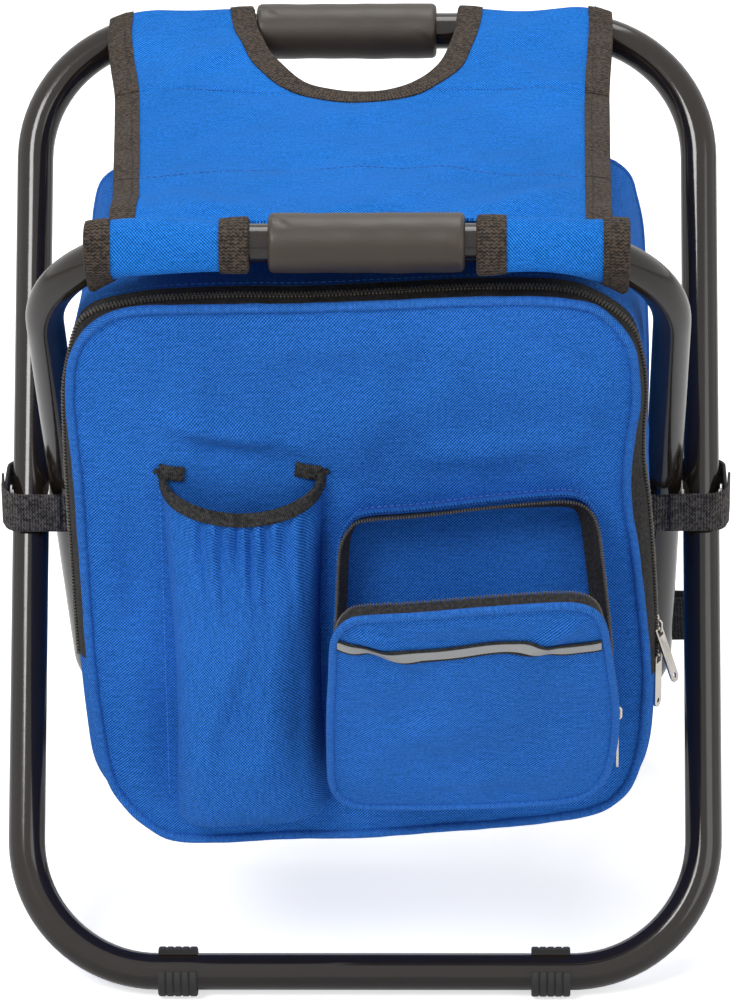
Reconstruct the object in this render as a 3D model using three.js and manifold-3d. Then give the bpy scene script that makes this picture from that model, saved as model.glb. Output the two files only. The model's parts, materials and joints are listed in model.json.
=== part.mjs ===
// Folding cooler stool: two bent tube loops crossed on pivots, a sling seat and an insulated zip bag.
// Lengths are in millimetres. +Z is up, -Y is the front and +X is to the right of someone facing the front.
import * as THREE from 'three';
import { mergeVertices } from 'three/addons/utils/BufferGeometryUtils.js';
import Module from 'manifold-3d';

const wasm = await Module();
wasm.setup();

// Fits and counts that all pieces share.
const SEAT_GAP = 0.3;
const CUT_OVERRUN = 4;
const MERGE_TOLERANCE = 1e-4;
const TUBE_SIDES = 12;
const BEND_STEPS = 6;
const CORNER_STEPS = 5;
const ROUND_SIDES = 16;

// Folding frame: both loops are tubes bent into rounded rectangles.
const TUBE_DIAMETER = 18;
const TUBE_WALL = 1.2;
const OUTER_LOOP_WIDTH = 332;
const LEG_GAP = 1;
const LOOP_LENGTH = 472;
const OUTER_BEND_RADIUS = 65;
const INNER_BEND_RADIUS = 70;
const BUTT_GAP = 0.6;
const OPEN_HALF_ANGLE = THREE.MathUtils.degToRad(35);
const PIVOT_SHARE = 0.5;

// Pivot rivets and the washers between the legs.
const RIVET_DIAMETER = 6;
const RIVET_HOLE_CLEARANCE = 0.35;
const RIVET_HEAD_DIAMETER = 11;
const RIVET_HEAD_THICKNESS = 1.2;
const RIVET_HEAD_CROWN = 0.4;
const WASHER_DIAMETER = 14;
const WASHER_THICKNESS = 0.4;

// Foam hand grips on the two top bars.
const GRIP_DIAMETER = 27.6;
const GRIP_BORE_CLEARANCE = 0.5;
const GRIP_LENGTH = 90;
const GRIP_CHAMFER = 2;
const REAR_GRIP_SHIFT = -10;
const FRONT_GRIP_SHIFT = 5.5;

// Ribbed clip-on feet on the two bottom bars.
const FOOT_LENGTH = 19;
const FOOT_BORE_CLEARANCE = 0.35;
const FOOT_VALLEY_WALL = 2;
const FOOT_RIB_HEIGHT = 0.6;
const FOOT_FLAT_DEPTH = 0.5;
const FOOT_RIBS = 3;
const FOOT_RIB_WIDTH_SHARE = 0.6;
const FOOT_MOUTH_ANGLE = THREE.MathUtils.degToRad(62);
const FOOT_MOUTH_TILT = THREE.MathUtils.degToRad(60);
const FOOT_BEND_MARGIN = 0.5;

// Sling seat with a sleeve round each top bar.
const SEAT_SIDE_INSET = 22;
const SEAT_THICKNESS = 1.6;
const SLEEVE_CLEARANCE = 1;
const SEAT_SAG = 5;
const SEAT_X_SHARES = [-1, -0.9, -0.78, -0.64, -0.5, -0.2, 0.2, 0.5, 0.64, 0.78, 0.9, 1];
const SEAT_Y_STEPS = 10;
const REAR_CUT_WIDTH = 108;
const REAR_CUT_SHIFT = -4;
const REAR_CUT_DEPTH = 70;
const REAR_CUT_CORNER = 44;
const FRONT_CUT_WIDTH = 106;
const FRONT_CUT_SHIFT = 4;
const FRONT_CUT_DEPTH = 24;
const FRONT_CUT_CORNER = 9;
const BINDING_THICKNESS = 1;
const CUT_BINDING_WIDTH = 11.5;

// Cooler bag: outline seen from the front, and its reach before and behind the pivots.
const BAG_LEG_CLEARANCE = 4;
const BAG_DROP = 31;
const BAG_HEIGHT = 279;
const BAG_TOP_RADIUS = 45;
const BAG_BOTTOM_RADIUS = 58;
const BAG_FRONT_REACH = 139;
const BAG_REAR_REACH = 30;
const FABRIC_THICKNESS = 1.6;
const FOAM_THICKNESS = 5;
const FOIL_THICKNESS = 0.6;
const PIPING_DIAMETER = 4;
const PIPING_SIDES = 6;
const PIPING_INSET = 3;

// Main zipper: tape, coil, tape round the front edge, open from one end stop to the other.
const ZIP_TAPE_WIDTH = 8.7;
const ZIP_TAPE_THICKNESS = 1.2;
const ZIP_COIL_WIDTH = 2.2;
const ZIP_COIL_PROUD = 0.8;
const ZIP_END_HEIGHT = 88;

// Zip sliders and their pull tabs.
const SLIDER_LENGTH = 11.5;
const SLIDER_WIDTH = 7;
const SLIDER_PLATE = 1.4;
const SLIDER_NOSE_SHARE = 0.6;
const SLIDER_SPACING = 14;
const CROWN_HEIGHT = 3.2;
const CROWN_BAR = 1.2;
const CROWN_LENGTH = 7;
const PULL_LENGTH = 28;
const PULL_WIDTH = 6.5;
const PULL_THICKNESS = 1.2;
const PULL_EYE = 3.1;
const PULL_LEAN_MARGIN = THREE.MathUtils.degToRad(2);
const PULL_END_HOLE = 2.6;
const PULL_RIM = 1.1;
const SLIDER_LEAN = THREE.MathUtils.degToRad(-28);

// Open-topped bottle pocket on the left of the front panel.
const BOTTLE_POCKET_WIDTH = 73;
const BOTTLE_POCKET_CENTRE = -53;
const BOTTLE_POCKET_BOTTOM = 20;
const BOTTLE_POCKET_HEIGHT = 170;
const BOTTLE_POCKET_DEPTH = 27;
const BOTTLE_MOUTH_DEPTH = 15;
const BOTTLE_MOUTH_SAG = 16;
const POCKET_FABRIC = 1.2;
const ELASTIC_WIDTH = 8;
const ELASTIC_THICKNESS = 1.8;
const BOTTLE_STEPS = 10;
const BOTTLE_FOOT_SHARE = 0.25;
const BOTTLE_ROUND_POWER = 4;
const BOTTLE_ROW_POWER = 1.5;
const BOTTLE_FLOOR_POWER = 3;

// Zip pocket on the right of the front panel, shown part open.
const ZIP_POCKET_WIDTH = 129;
const ZIP_POCKET_CENTRE = 54.5;
const ZIP_POCKET_BOTTOM = 39;
const ZIP_POCKET_HEIGHT = 151;
const ZIP_POCKET_RADIUS = 22;
const ZIP_POCKET_GUSSET = 13;
const POCKET_TAPE_WIDTH = 6;
const POCKET_COIL_WIDTH = 1.8;
const POCKET_SLIDER_HEIGHT = 40;
const FLAP_OPEN_ANGLE = THREE.MathUtils.degToRad(24.5);
const FLAP_PIPING_DIAMETER = 3.4;
const STRIPE_DROP = 32;
const STRIPE_WIDTH = 6.5;
const STRIPE_THICKNESS = 0.8;
const STRIPE_WAVE = 3.4;
const STRIPE_STEPS = 12;
const STRIPE_MARGIN = 4;

// Hook-and-loop bands that hold the bag to the crossed legs.
const BAND_WIDTH = 20;
const BAND_THICKNESS = 1.5;
const BAND_LEG_CLEARANCE = 1.2;
const BAND_HEAD_CLEARANCE = 0.6;
const BAND_CORNER = 8;

// Shoulder straps on the back: padded band, adjuster and webbing.
const PAD_WIDTH = 52;
const PAD_THICKNESS = 8;
const PAD_LENGTH = 205;
const PAD_SPACING = 128;
const PAD_TOP_DROP = 14;
const PAD_CORNER = 12;
const PAD_SOFT_EDGE = 2;
const WEBBING_WIDTH = 25;
const WEBBING_THICKNESS = 1.5;
const ADJUSTER_WIDTH = 33;
const ADJUSTER_HEIGHT = 22;
const ADJUSTER_THICKNESS = 4;
const ADJUSTER_SLOT = 3;
const ADJUSTER_BAR = 3;
const WEBBING_STEPS = 36;
const WEBBING_TURN_SHARES = [0.1, 0.35];
const STRAP_FOOT_RISE = 14.5;
const STRAP_CORNER_INSET = 14.5;

// Slack in the webbing of each side: how far past the bag's side and how far back it reaches, and its height.
const STRAP_LOOPS = {
  left: { past: -22, back: 66, height: 92, hairpin: 6 },
  right: { past: 35, back: 114, height: 78, hairpin: 9 },
};

// Values worked out from the driving sizes.
const TUBE_RADIUS = TUBE_DIAMETER / 2;
const INNER_LOOP_WIDTH = OUTER_LOOP_WIDTH - 2 * (TUBE_DIAMETER + LEG_GAP);
const GRIP_RADIUS = GRIP_DIAMETER / 2;
const FOOT_BORE_RADIUS = TUBE_RADIUS + FOOT_BORE_CLEARANCE;
const FOOT_RADIUS = FOOT_BORE_RADIUS + FOOT_VALLEY_WALL + FOOT_RIB_HEIGHT;
const BOTTOM_BAR_Z = FOOT_RADIUS - FOOT_FLAT_DEPTH;
const FRONT_FOOT_X = OUTER_LOOP_WIDTH / 2 - OUTER_BEND_RADIUS - FOOT_BEND_MARGIN - FOOT_LENGTH / 2;
const REAR_FOOT_X = INNER_LOOP_WIDTH / 2 - INNER_BEND_RADIUS - FOOT_BEND_MARGIN - FOOT_LENGTH / 2;
const TOP_REACH = LOOP_LENGTH * PIVOT_SHARE;
const BOTTOM_REACH = LOOP_LENGTH - TOP_REACH;
const PIVOT_Z = BOTTOM_BAR_Z + BOTTOM_REACH * Math.cos(OPEN_HALF_ANGLE);
const TOP_BAR_Z = PIVOT_Z + TOP_REACH * Math.cos(OPEN_HALF_ANGLE);
const TOP_BAR_Y = TOP_REACH * Math.sin(OPEN_HALF_ANGLE);
const BOTTOM_BAR_Y = BOTTOM_REACH * Math.sin(OPEN_HALF_ANGLE);

const BAG_HALF_WIDTH = INNER_LOOP_WIDTH / 2 - TUBE_RADIUS - BAG_LEG_CLEARANCE;
const BAG_TOP_Z = TOP_BAR_Z - BAG_DROP;
const BAG_BOTTOM_Z = BAG_TOP_Z - BAG_HEIGHT;
const ZIP_END_Z = BAG_BOTTOM_Z + ZIP_END_HEIGHT;
const PANEL_FRONT_Y = -BAG_FRONT_REACH;
const PANEL_BACK_Y = PANEL_FRONT_Y + FABRIC_THICKNESS;
const PIPING_RADIUS = PIPING_DIAMETER / 2;
const PIPING_Y = PANEL_FRONT_Y + PIPING_RADIUS / 2;
const FRONT_TAPE_Y = PIPING_Y + PIPING_RADIUS + SEAT_GAP;
const FRONT_COIL_Y = FRONT_TAPE_Y + ZIP_TAPE_WIDTH + SEAT_GAP;
const REAR_COIL_Y = FRONT_COIL_Y + ZIP_COIL_WIDTH + SEAT_GAP;
const REAR_TAPE_Y = REAR_COIL_Y + ZIP_COIL_WIDTH + SEAT_GAP;
const GUSSET_FRONT_Y = REAR_TAPE_Y + ZIP_TAPE_WIDTH + SEAT_GAP;
const FOAM_INSET = FABRIC_THICKNESS + SEAT_GAP;
const FOIL_INSET = FOAM_INSET + FOAM_THICKNESS + SEAT_GAP;
const LID_INSET = PIPING_INSET + PIPING_RADIUS + SEAT_GAP;
const LID_FOAM_Y = PANEL_BACK_Y + SEAT_GAP;
const LID_FOIL_Y = LID_FOAM_Y + FOAM_THICKNESS + SEAT_GAP;
const TUB_FRONT_Y = LID_FOIL_Y + FOIL_THICKNESS + SEAT_GAP;

const POCKET_BACK_Y = PANEL_FRONT_Y - SEAT_GAP;
const POCKET_RIM_Y = POCKET_BACK_Y - ZIP_POCKET_GUSSET;
const POCKET_COIL_Y = POCKET_RIM_Y - SEAT_GAP - POCKET_TAPE_WIDTH - SEAT_GAP;
const POCKET_FACE_Y = POCKET_COIL_Y - POCKET_COIL_WIDTH;
const ZIP_POCKET_BOTTOM_Z = BAG_BOTTOM_Z + ZIP_POCKET_BOTTOM;
const BACK_FACE_Y = BAG_REAR_REACH + SEAT_GAP + FABRIC_THICKNESS;

const SLEEVE_MID_RADIUS = TUBE_RADIUS + SLEEVE_CLEARANCE + SEAT_THICKNESS / 2;
const SEAT_HALF_WIDTH = INNER_LOOP_WIDTH / 2 - SEAT_SIDE_INSET;

const FLAP_COIL_Y = POCKET_FACE_Y - SEAT_GAP - POCKET_COIL_WIDTH;
const FLAP_TAPE_Y = FLAP_COIL_Y - SEAT_GAP - POCKET_TAPE_WIDTH;
const FLAP_PIPING_RADIUS = FLAP_PIPING_DIAMETER / 2;
const FLAP_PIPING_Y = FLAP_TAPE_Y - SEAT_GAP - FLAP_PIPING_RADIUS;
const FLAP_BACK_Y = FLAP_TAPE_Y - SEAT_GAP;

// Where the eye's top rim lies inside the crown, in a slider's own axes.
const PULL_PLANE = SLIDER_PLATE + (CROWN_HEIGHT - CROWN_BAR) / 2;
const PULL_PIVOT_DROP = CROWN_LENGTH / 2 - CROWN_BAR - PULL_RIM / 2 - SEAT_GAP;

// The upper pull lies over the lower slider's crown, so it hangs at this angle to its own slider.
const UPPER_PULL_LEAN = PULL_LEAN_MARGIN + Math.atan2(
  SLIDER_PLATE + CROWN_HEIGHT + SEAT_GAP - PULL_PLANE + PULL_THICKNESS / 2,
  SLIDER_SPACING - CROWN_LENGTH / 2 - PULL_PIVOT_DROP,
);

const PAD_TOP_Z = BAG_TOP_Z - PAD_TOP_DROP;
const PAD_BOTTOM_Z = PAD_TOP_Z - PAD_LENGTH;
const PAD_BACK_Y = BACK_FACE_Y + SEAT_GAP;
const ADJUSTER_Y = PAD_BACK_Y + PAD_THICKNESS / 2;
const ADJUSTER_TOP_Z = PAD_BOTTOM_Z - SEAT_GAP;
const STRAP_FOOT_Z = BAG_BOTTOM_Z + STRAP_FOOT_RISE;

// Finishes, one per material of the real object.
const finish = (color, roughness, metalness) => () =>
  new THREE.MeshStandardMaterial({ color, roughness, metalness });
const paintedSteel = finish(0x1b1815, 0.25, 0.3);
const zincSteel = finish(0x9a9a98, 0.35, 0.9);
const nylon = finish(0xd8d4c8, 0.6, 0);
const foamRubber = finish(0x4a443b, 0.75, 0);
const footRubber = finish(0x2b2a28, 0.8, 0);
const seatFabric = finish(0x1f63c8, 0.85, 0);
const bagFabric = finish(0x1b4fae, 0.85, 0);
const pocketLining = finish(0x12348a, 0.85, 0);
const webbing = finish(0x3a342c, 0.9, 0);
const blackWebbing = finish(0x17171a, 0.9, 0);
const zipTape = finish(0x181716, 0.85, 0);
const zipCoil = finish(0x26231f, 0.45, 0);
const nickel = finish(0xc9c4ba, 0.22, 1);
const whiteFoam = finish(0xe9e8e2, 0.9, 0);
const silverFoil = finish(0xc4c8cc, 0.3, 0.8);
const greyReflector = finish(0xa5a6a8, 0.4, 0);
const blackPlastic = finish(0x1a1a1b, 0.5, 0);

// Turns any closed geometry into a welded body whose faces point outwards.
function weld(geometry) {
  geometry.deleteAttribute('normal');
  geometry.deleteAttribute('uv');
  const welded = mergeVertices(geometry, MERGE_TOLERANCE);
  if (signedVolume(welded) < 0) {
    const index = Array.from(welded.index.array);
    for (let i = 0; i < index.length; i += 3) {
      [index[i + 1], index[i + 2]] = [index[i + 2], index[i + 1]];
    }
    welded.setIndex(index);
  }
  return welded;
}

function signedVolume(geometry) {
  const { array } = geometry.attributes.position;
  const corner = (i) => new THREE.Vector3(array[3 * i], array[3 * i + 1], array[3 * i + 2]);
  const index = geometry.index.array;
  let volume = 0;
  for (let i = 0; i < index.length; i += 3) {
    volume += corner(index[i]).dot(corner(index[i + 1]).cross(corner(index[i + 2])));
  }
  return volume;
}

// Booleans between welded bodies.
function solid(geometry) {
  const vertProperties = Float32Array.from(geometry.attributes.position.array);
  const triVerts = Uint32Array.from(geometry.index.array);
  return new wasm.Manifold(new wasm.Mesh({ numProp: 3, vertProperties, triVerts }));
}

function bodyOf(manifold) {
  const { vertProperties, triVerts } = manifold.getMesh();
  const geometry = new THREE.BufferGeometry();
  geometry.setAttribute('position', new THREE.BufferAttribute(Float32Array.from(vertProperties), 3));
  geometry.setIndex(Array.from(triVerts));
  return geometry;
}

function cut(geometry, ...cutters) {
  return bodyOf(cutters.reduce((left, cutter) => left.subtract(solid(cutter)), solid(geometry)));
}

function join(geometry, ...others) {
  return bodyOf(others.reduce((left, other) => left.add(solid(other)), solid(geometry)));
}

// Triangles that close a flat ring, in the ring's own turning direction.
function capTriangles(ring) {
  const normal = new THREE.Vector3();
  ring.forEach((p, i) => normal.add(p.clone().cross(ring[(i + 1) % ring.length])));
  normal.normalize();
  const across = ring[1].clone().sub(ring[0]).normalize();
  const along = normal.clone().cross(across);
  const flat = ring.map((p) => new THREE.Vector2(p.dot(across), p.dot(along)));
  return THREE.ShapeUtils.triangulateShape(flat, []).map(([a, b, c]) => {
    const turn = flat[b].clone().sub(flat[a]).cross(flat[c].clone().sub(flat[a]));
    return turn > 0 ? [a, b, c] : [a, c, b];
  });
}

// A loft through rings of equal point counts; it closes on itself or gets two flat caps.
function loft(rings, wraps = false) {
  const count = rings[0].length;
  const index = [];
  const spans = wraps ? rings.length : rings.length - 1;
  for (let r = 0; r < spans; r += 1) {
    const a = r * count;
    const b = ((r + 1) % rings.length) * count;
    for (let s = 0; s < count; s += 1) {
      const n = (s + 1) % count;
      index.push(a + s, a + n, b + n, a + s, b + n, b + s);
    }
  }
  if (!wraps) {
    const last = (rings.length - 1) * count;
    capTriangles(rings[0]).forEach(([a, b, c]) => index.push(a, c, b));
    capTriangles(rings[rings.length - 1]).forEach(([a, b, c]) => index.push(last + a, last + b, last + c));
  }
  const geometry = new THREE.BufferGeometry();
  geometry.setFromPoints(rings.flat());
  geometry.setIndex(index);
  return weld(geometry);
}

// A thin sheet between a front grid and a back grid of points, closed round its rim.
function sheetBetween(front, back) {
  const rows = front.length;
  const columns = front[0].length;
  const index = [];
  const at = (layer, i, j) => layer * rows * columns + i * columns + j;
  const quad = (a, b, c, d) => index.push(a, b, c, a, c, d);
  for (let i = 0; i < rows - 1; i += 1) {
    for (let j = 0; j < columns - 1; j += 1) {
      quad(at(0, i, j), at(0, i + 1, j), at(0, i + 1, j + 1), at(0, i, j + 1));
      quad(at(1, i, j), at(1, i, j + 1), at(1, i + 1, j + 1), at(1, i + 1, j));
    }
  }
  for (let i = 0; i < rows - 1; i += 1) {
    quad(at(0, i, 0), at(1, i, 0), at(1, i + 1, 0), at(0, i + 1, 0));
    quad(at(0, i + 1, columns - 1), at(1, i + 1, columns - 1), at(1, i, columns - 1), at(0, i, columns - 1));
  }
  for (let j = 0; j < columns - 1; j += 1) {
    quad(at(0, 0, j + 1), at(1, 0, j + 1), at(1, 0, j), at(0, 0, j));
    quad(at(0, rows - 1, j), at(1, rows - 1, j), at(1, rows - 1, j + 1), at(0, rows - 1, j + 1));
  }
  const geometry = new THREE.BufferGeometry();
  geometry.setFromPoints([...front.flat(), ...back.flat()]);
  geometry.setIndex(index);
  return weld(geometry);
}

function block(width, depth, height, x, y, z) {
  const geometry = new THREE.BoxGeometry(width, depth, height);
  geometry.translate(x, y, z);
  return weld(geometry);
}

// A revolved piece about the X axis from a profile of [radius, x] pairs that closes on itself.
function turnedAboutX(profile, sides) {
  const points = profile.map(([radius, x]) => new THREE.Vector2(radius, x));
  const geometry = new THREE.LatheGeometry(points, sides);
  geometry.rotateZ(-Math.PI / 2);
  return weld(geometry);
}

function named(name, geometry, material) {
  const mesh = new THREE.Mesh(geometry, material());
  mesh.name = name;
  geometry.computeVertexNormals();
  return mesh;
}

// The centre line of a bent loop in its own plane, as stations that an extrusion follows one by one.
class LoopCurve extends THREE.Curve {
  constructor(width, bendRadius) {
    super();
    this.stations = loopStations(width, bendRadius);
  }

  getPoint(t) {
    return this.stations[Math.round(t * (this.stations.length - 1))].point.clone();
  }

  getPointAt(u) {
    return this.getPoint(u);
  }

  getTangentAt(u) {
    return this.stations[Math.round(u * (this.stations.length - 1))].tangent.clone();
  }
}

// Starts and ends at the butt joint in the middle of the top bar, under the hand grip.
function loopStations(width, bendRadius) {
  const straightX = width / 2 - bendRadius;
  const corners = [
    { x: straightX, z: TOP_REACH - bendRadius, start: Math.PI / 2 },
    { x: straightX, z: bendRadius - BOTTOM_REACH, start: 0 },
    { x: -straightX, z: bendRadius - BOTTOM_REACH, start: -Math.PI / 2 },
    { x: -straightX, z: TOP_REACH - bendRadius, start: -Math.PI },
  ];
  const right = new THREE.Vector3(1, 0, 0);
  const stations = [{ point: new THREE.Vector3(BUTT_GAP / 2, 0, TOP_REACH), tangent: right }];
  for (const corner of corners) {
    for (let i = 0; i <= BEND_STEPS; i += 1) {
      const angle = corner.start - (Math.PI / 2) * (i / BEND_STEPS);
      const radial = new THREE.Vector3(Math.cos(angle), 0, Math.sin(angle));
      const centre = new THREE.Vector3(corner.x, 0, corner.z);
      const tangent = new THREE.Vector3(Math.sin(angle), 0, -Math.cos(angle));
      stations.push({ point: centre.addScaledVector(radial, bendRadius), tangent });
    }
  }
  stations.push({ point: new THREE.Vector3(-BUTT_GAP / 2, 0, TOP_REACH), tangent: right });
  return stations;
}

// A hollow tube loop with one drilled pivot hole through each leg.
function bentLoop(width, bendRadius) {
  const section = new THREE.Shape();
  section.absarc(0, 0, TUBE_RADIUS, 0, 2 * Math.PI);
  const bore = new THREE.Path();
  bore.absarc(0, 0, TUBE_RADIUS - TUBE_WALL, 0, 2 * Math.PI);
  section.holes.push(bore);
  const curve = new LoopCurve(width, bendRadius);
  const tube = new THREE.ExtrudeGeometry(section, {
    steps: curve.stations.length - 1,
    curveSegments: TUBE_SIDES / 2,
    extrudePath: curve,
  });
  const drillRadius = RIVET_DIAMETER / 2 + RIVET_HOLE_CLEARANCE;
  const drills = [-1, 1].map((side) => {
    const length = TUBE_DIAMETER + CUT_OVERRUN;
    const drill = new THREE.CylinderGeometry(drillRadius, drillRadius, length, ROUND_SIDES);
    drill.rotateZ(Math.PI / 2);
    drill.translate((side * width) / 2, 0, 0);
    return weld(drill);
  });
  return cut(weld(tube), ...drills);
}

// A pivot rivet through both legs of one side: shank, formed tail and domed head.
function pivotRivet(side) {
  const tailFace = INNER_LOOP_WIDTH / 2 - TUBE_RADIUS - SEAT_GAP;
  const headFace = OUTER_LOOP_WIDTH / 2 + TUBE_RADIUS + SEAT_GAP;
  const shank = RIVET_DIAMETER / 2;
  const head = RIVET_HEAD_DIAMETER / 2;
  const crownStart = RIVET_HEAD_THICKNESS - RIVET_HEAD_CROWN;
  const profile = [
    [0, tailFace - RIVET_HEAD_THICKNESS],
    [head - RIVET_HEAD_CROWN, tailFace - RIVET_HEAD_THICKNESS],
    [head, tailFace - crownStart],
    [head, tailFace],
    [shank, tailFace],
    [shank, headFace],
    [head, headFace],
    [head, headFace + crownStart],
    [head - RIVET_HEAD_CROWN, headFace + RIVET_HEAD_THICKNESS],
    [0, headFace + RIVET_HEAD_THICKNESS],
  ];
  return turnedAboutX(profile.map(([radius, x]) => [radius, side * x]), TUBE_SIDES);
}

function pivotWasher(side) {
  const middle = (INNER_LOOP_WIDTH + OUTER_LOOP_WIDTH) / 4;
  const bore = RIVET_DIAMETER / 2 + RIVET_HOLE_CLEARANCE;
  const near = side * (middle - WASHER_THICKNESS / 2);
  const far = side * (middle + WASHER_THICKNESS / 2);
  const rim = WASHER_DIAMETER / 2;
  return turnedAboutX([[bore, near], [rim, near], [rim, far], [bore, far], [bore, near]], TUBE_SIDES);
}

function handGrip(shift) {
  const bore = TUBE_RADIUS + GRIP_BORE_CLEARANCE;
  const half = GRIP_LENGTH / 2;
  const profile = [
    [bore, shift - half],
    [GRIP_RADIUS - GRIP_CHAMFER, shift - half],
    [GRIP_RADIUS, shift - half + GRIP_CHAMFER],
    [GRIP_RADIUS, shift + half - GRIP_CHAMFER],
    [GRIP_RADIUS - GRIP_CHAMFER, shift + half],
    [bore, shift + half],
    [bore, shift - half],
  ];
  return turnedAboutX(profile, ROUND_SIDES);
}

// A C-shaped foot with raised ribs, open towards the outside of the stool and flat where it stands.
function ribbedFoot(x, outward) {
  const valley = FOOT_RADIUS - FOOT_RIB_HEIGHT;
  const pitch = FOOT_LENGTH / FOOT_RIBS;
  const ramp = (pitch * (1 - FOOT_RIB_WIDTH_SHARE)) / 2;
  const start = x - FOOT_LENGTH / 2;
  const profile = [[FOOT_BORE_RADIUS, start]];
  for (let rib = 0; rib < FOOT_RIBS; rib += 1) {
    const from = start + rib * pitch;
    profile.push([valley, from], [FOOT_RADIUS, from + ramp], [FOOT_RADIUS, from + pitch - ramp]);
  }
  const end = start + FOOT_LENGTH;
  profile.push([valley, end], [FOOT_BORE_RADIUS, end], [FOOT_BORE_RADIUS, start]);
  const ring = turnedAboutX(profile, ROUND_SIDES);
  const reach = FOOT_RADIUS + CUT_OVERRUN;
  const wedge = new THREE.Shape();
  wedge.moveTo(0, 0);
  wedge.lineTo(reach * Math.cos(FOOT_MOUTH_ANGLE / 2), -reach * Math.sin(FOOT_MOUTH_ANGLE / 2));
  wedge.lineTo(reach * Math.cos(FOOT_MOUTH_ANGLE / 2), reach * Math.sin(FOOT_MOUTH_ANGLE / 2));
  wedge.closePath();
  const mouth = new THREE.ExtrudeGeometry(wedge, { depth: FOOT_LENGTH + CUT_OVERRUN, bevelEnabled: false });
  mouth.translate(0, 0, -(FOOT_LENGTH + CUT_OVERRUN) / 2);
  mouth.rotateX(Math.PI / 2);
  mouth.rotateZ(Math.PI / 2);
  mouth.rotateX(outward < 0 ? Math.PI - FOOT_MOUTH_TILT : FOOT_MOUTH_TILT);
  mouth.translate(x, 0, 0);
  const below = -BOTTOM_BAR_Z - CUT_OVERRUN / 2;
  const ground = block(FOOT_LENGTH + CUT_OVERRUN, 2 * reach, CUT_OVERRUN, x, 0, below);
  const foot = cut(ring, weld(mouth), ground);
  foot.translate(0, outward * BOTTOM_BAR_Y, BOTTOM_BAR_Z);
  return foot;
}

// Centre of a top bar at a place along X, where lean is +1 for the rear bar and -1 for the front one.
function topBarCentre(x, lean) {
  const width = lean > 0 ? OUTER_LOOP_WIDTH : INNER_LOOP_WIDTH;
  const bend = lean > 0 ? OUTER_BEND_RADIUS : INNER_BEND_RADIUS;
  const past = Math.max(0, Math.abs(x) - (width / 2 - bend));
  const reach = TOP_REACH - (bend - Math.sqrt(bend * bend - past * past));
  const slope = (-Math.sign(x) * past) / Math.sqrt(bend * bend - past * past);
  const up = new THREE.Vector3(0, lean * Math.sin(OPEN_HALF_ANGLE), Math.cos(OPEN_HALF_ANGLE));
  const point = new THREE.Vector3(x, 0, PIVOT_Z).addScaledVector(up, reach);
  const tangent = new THREE.Vector3(1, 0, 0).addScaledVector(up, slope).normalize();
  return { point, tangent };
}

// The middle surface of the sling between the tops of the two bars.
function seatPoint(x, y) {
  const rear = topBarCentre(x, 1).point;
  const front = topBarCentre(x, -1).point;
  const share = THREE.MathUtils.clamp((rear.y - y) / (rear.y - front.y), 0, 1);
  const level = THREE.MathUtils.lerp(rear.z, front.z, share) + SLEEVE_MID_RADIUS;
  return new THREE.Vector3(x, y, level - SEAT_SAG * (1 - (2 * share - 1) ** 2));
}

// A fabric sleeve that follows a top bar, open at both ends.
function sleeve(lean) {
  const rings = { outer: [], inner: [] };
  for (const share of SEAT_X_SHARES) {
    const { point, tangent } = topBarCentre(share * SEAT_HALF_WIDTH, lean);
    const side = new THREE.Vector3(0, 1, 0).addScaledVector(tangent, -tangent.y).normalize();
    const up = tangent.clone().cross(side);
    for (const [layer, offset] of [['outer', SEAT_THICKNESS / 2], ['inner', -SEAT_THICKNESS / 2]]) {
      const ring = [];
      for (let i = 0; i < TUBE_SIDES; i += 1) {
        const angle = (2 * Math.PI * i) / TUBE_SIDES;
        const radius = SLEEVE_MID_RADIUS + offset;
        ring.push(point.clone()
          .addScaledVector(side, radius * Math.cos(angle))
          .addScaledVector(up, radius * Math.sin(angle)));
      }
      rings[layer].push(ring);
    }
  }
  return loft([...rings.outer, ...rings.inner.reverse()], true);
}

// A hand opening in the sling, seen from above: a slot from the bar with two rounded corners.
function handCut(width, shift, depth, corner, lean) {
  const sign = -lean;
  const bar = lean * TOP_BAR_Y;
  const beyond = bar + lean * (SLEEVE_MID_RADIUS + SEAT_THICKNESS + CUT_OVERRUN);
  const end = bar + sign * depth;
  const path = cutPath(width, shift, corner, beyond, end, sign);
  const shape = new THREE.Shape(path.map(({ point }) => point));
  const height = 2 * (SLEEVE_MID_RADIUS + SEAT_SAG + CUT_OVERRUN);
  const geometry = new THREE.ExtrudeGeometry(shape, { depth: height, bevelEnabled: false });
  geometry.translate(0, 0, TOP_BAR_Z - height / 2);
  return weld(geometry);
}

// Points along a hand opening's edge with the direction into the fabric at each.
function cutPath(width, shift, corner, start, end, sign) {
  const half = width / 2;
  const path = [{ point: new THREE.Vector2(shift - half, start), inward: new THREE.Vector2(-1, 0) }];
  for (const side of [-1, 1]) {
    for (let i = 0; i <= CORNER_STEPS; i += 1) {
      const turn = (Math.PI / 2) * (i / CORNER_STEPS);
      const sweep = side < 0 ? Math.PI + sign * -turn : sign * (Math.PI / 2 - turn);
      const direction = new THREE.Vector2(Math.cos(sweep), Math.sin(sweep));
      const centre = new THREE.Vector2(shift + side * (half - corner), end - sign * corner);
      path.push({ point: centre.addScaledVector(direction, corner), inward: direction });
    }
  }
  path.push({ point: new THREE.Vector2(shift + half, start), inward: new THREE.Vector2(1, 0) });
  return path;
}

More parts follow.
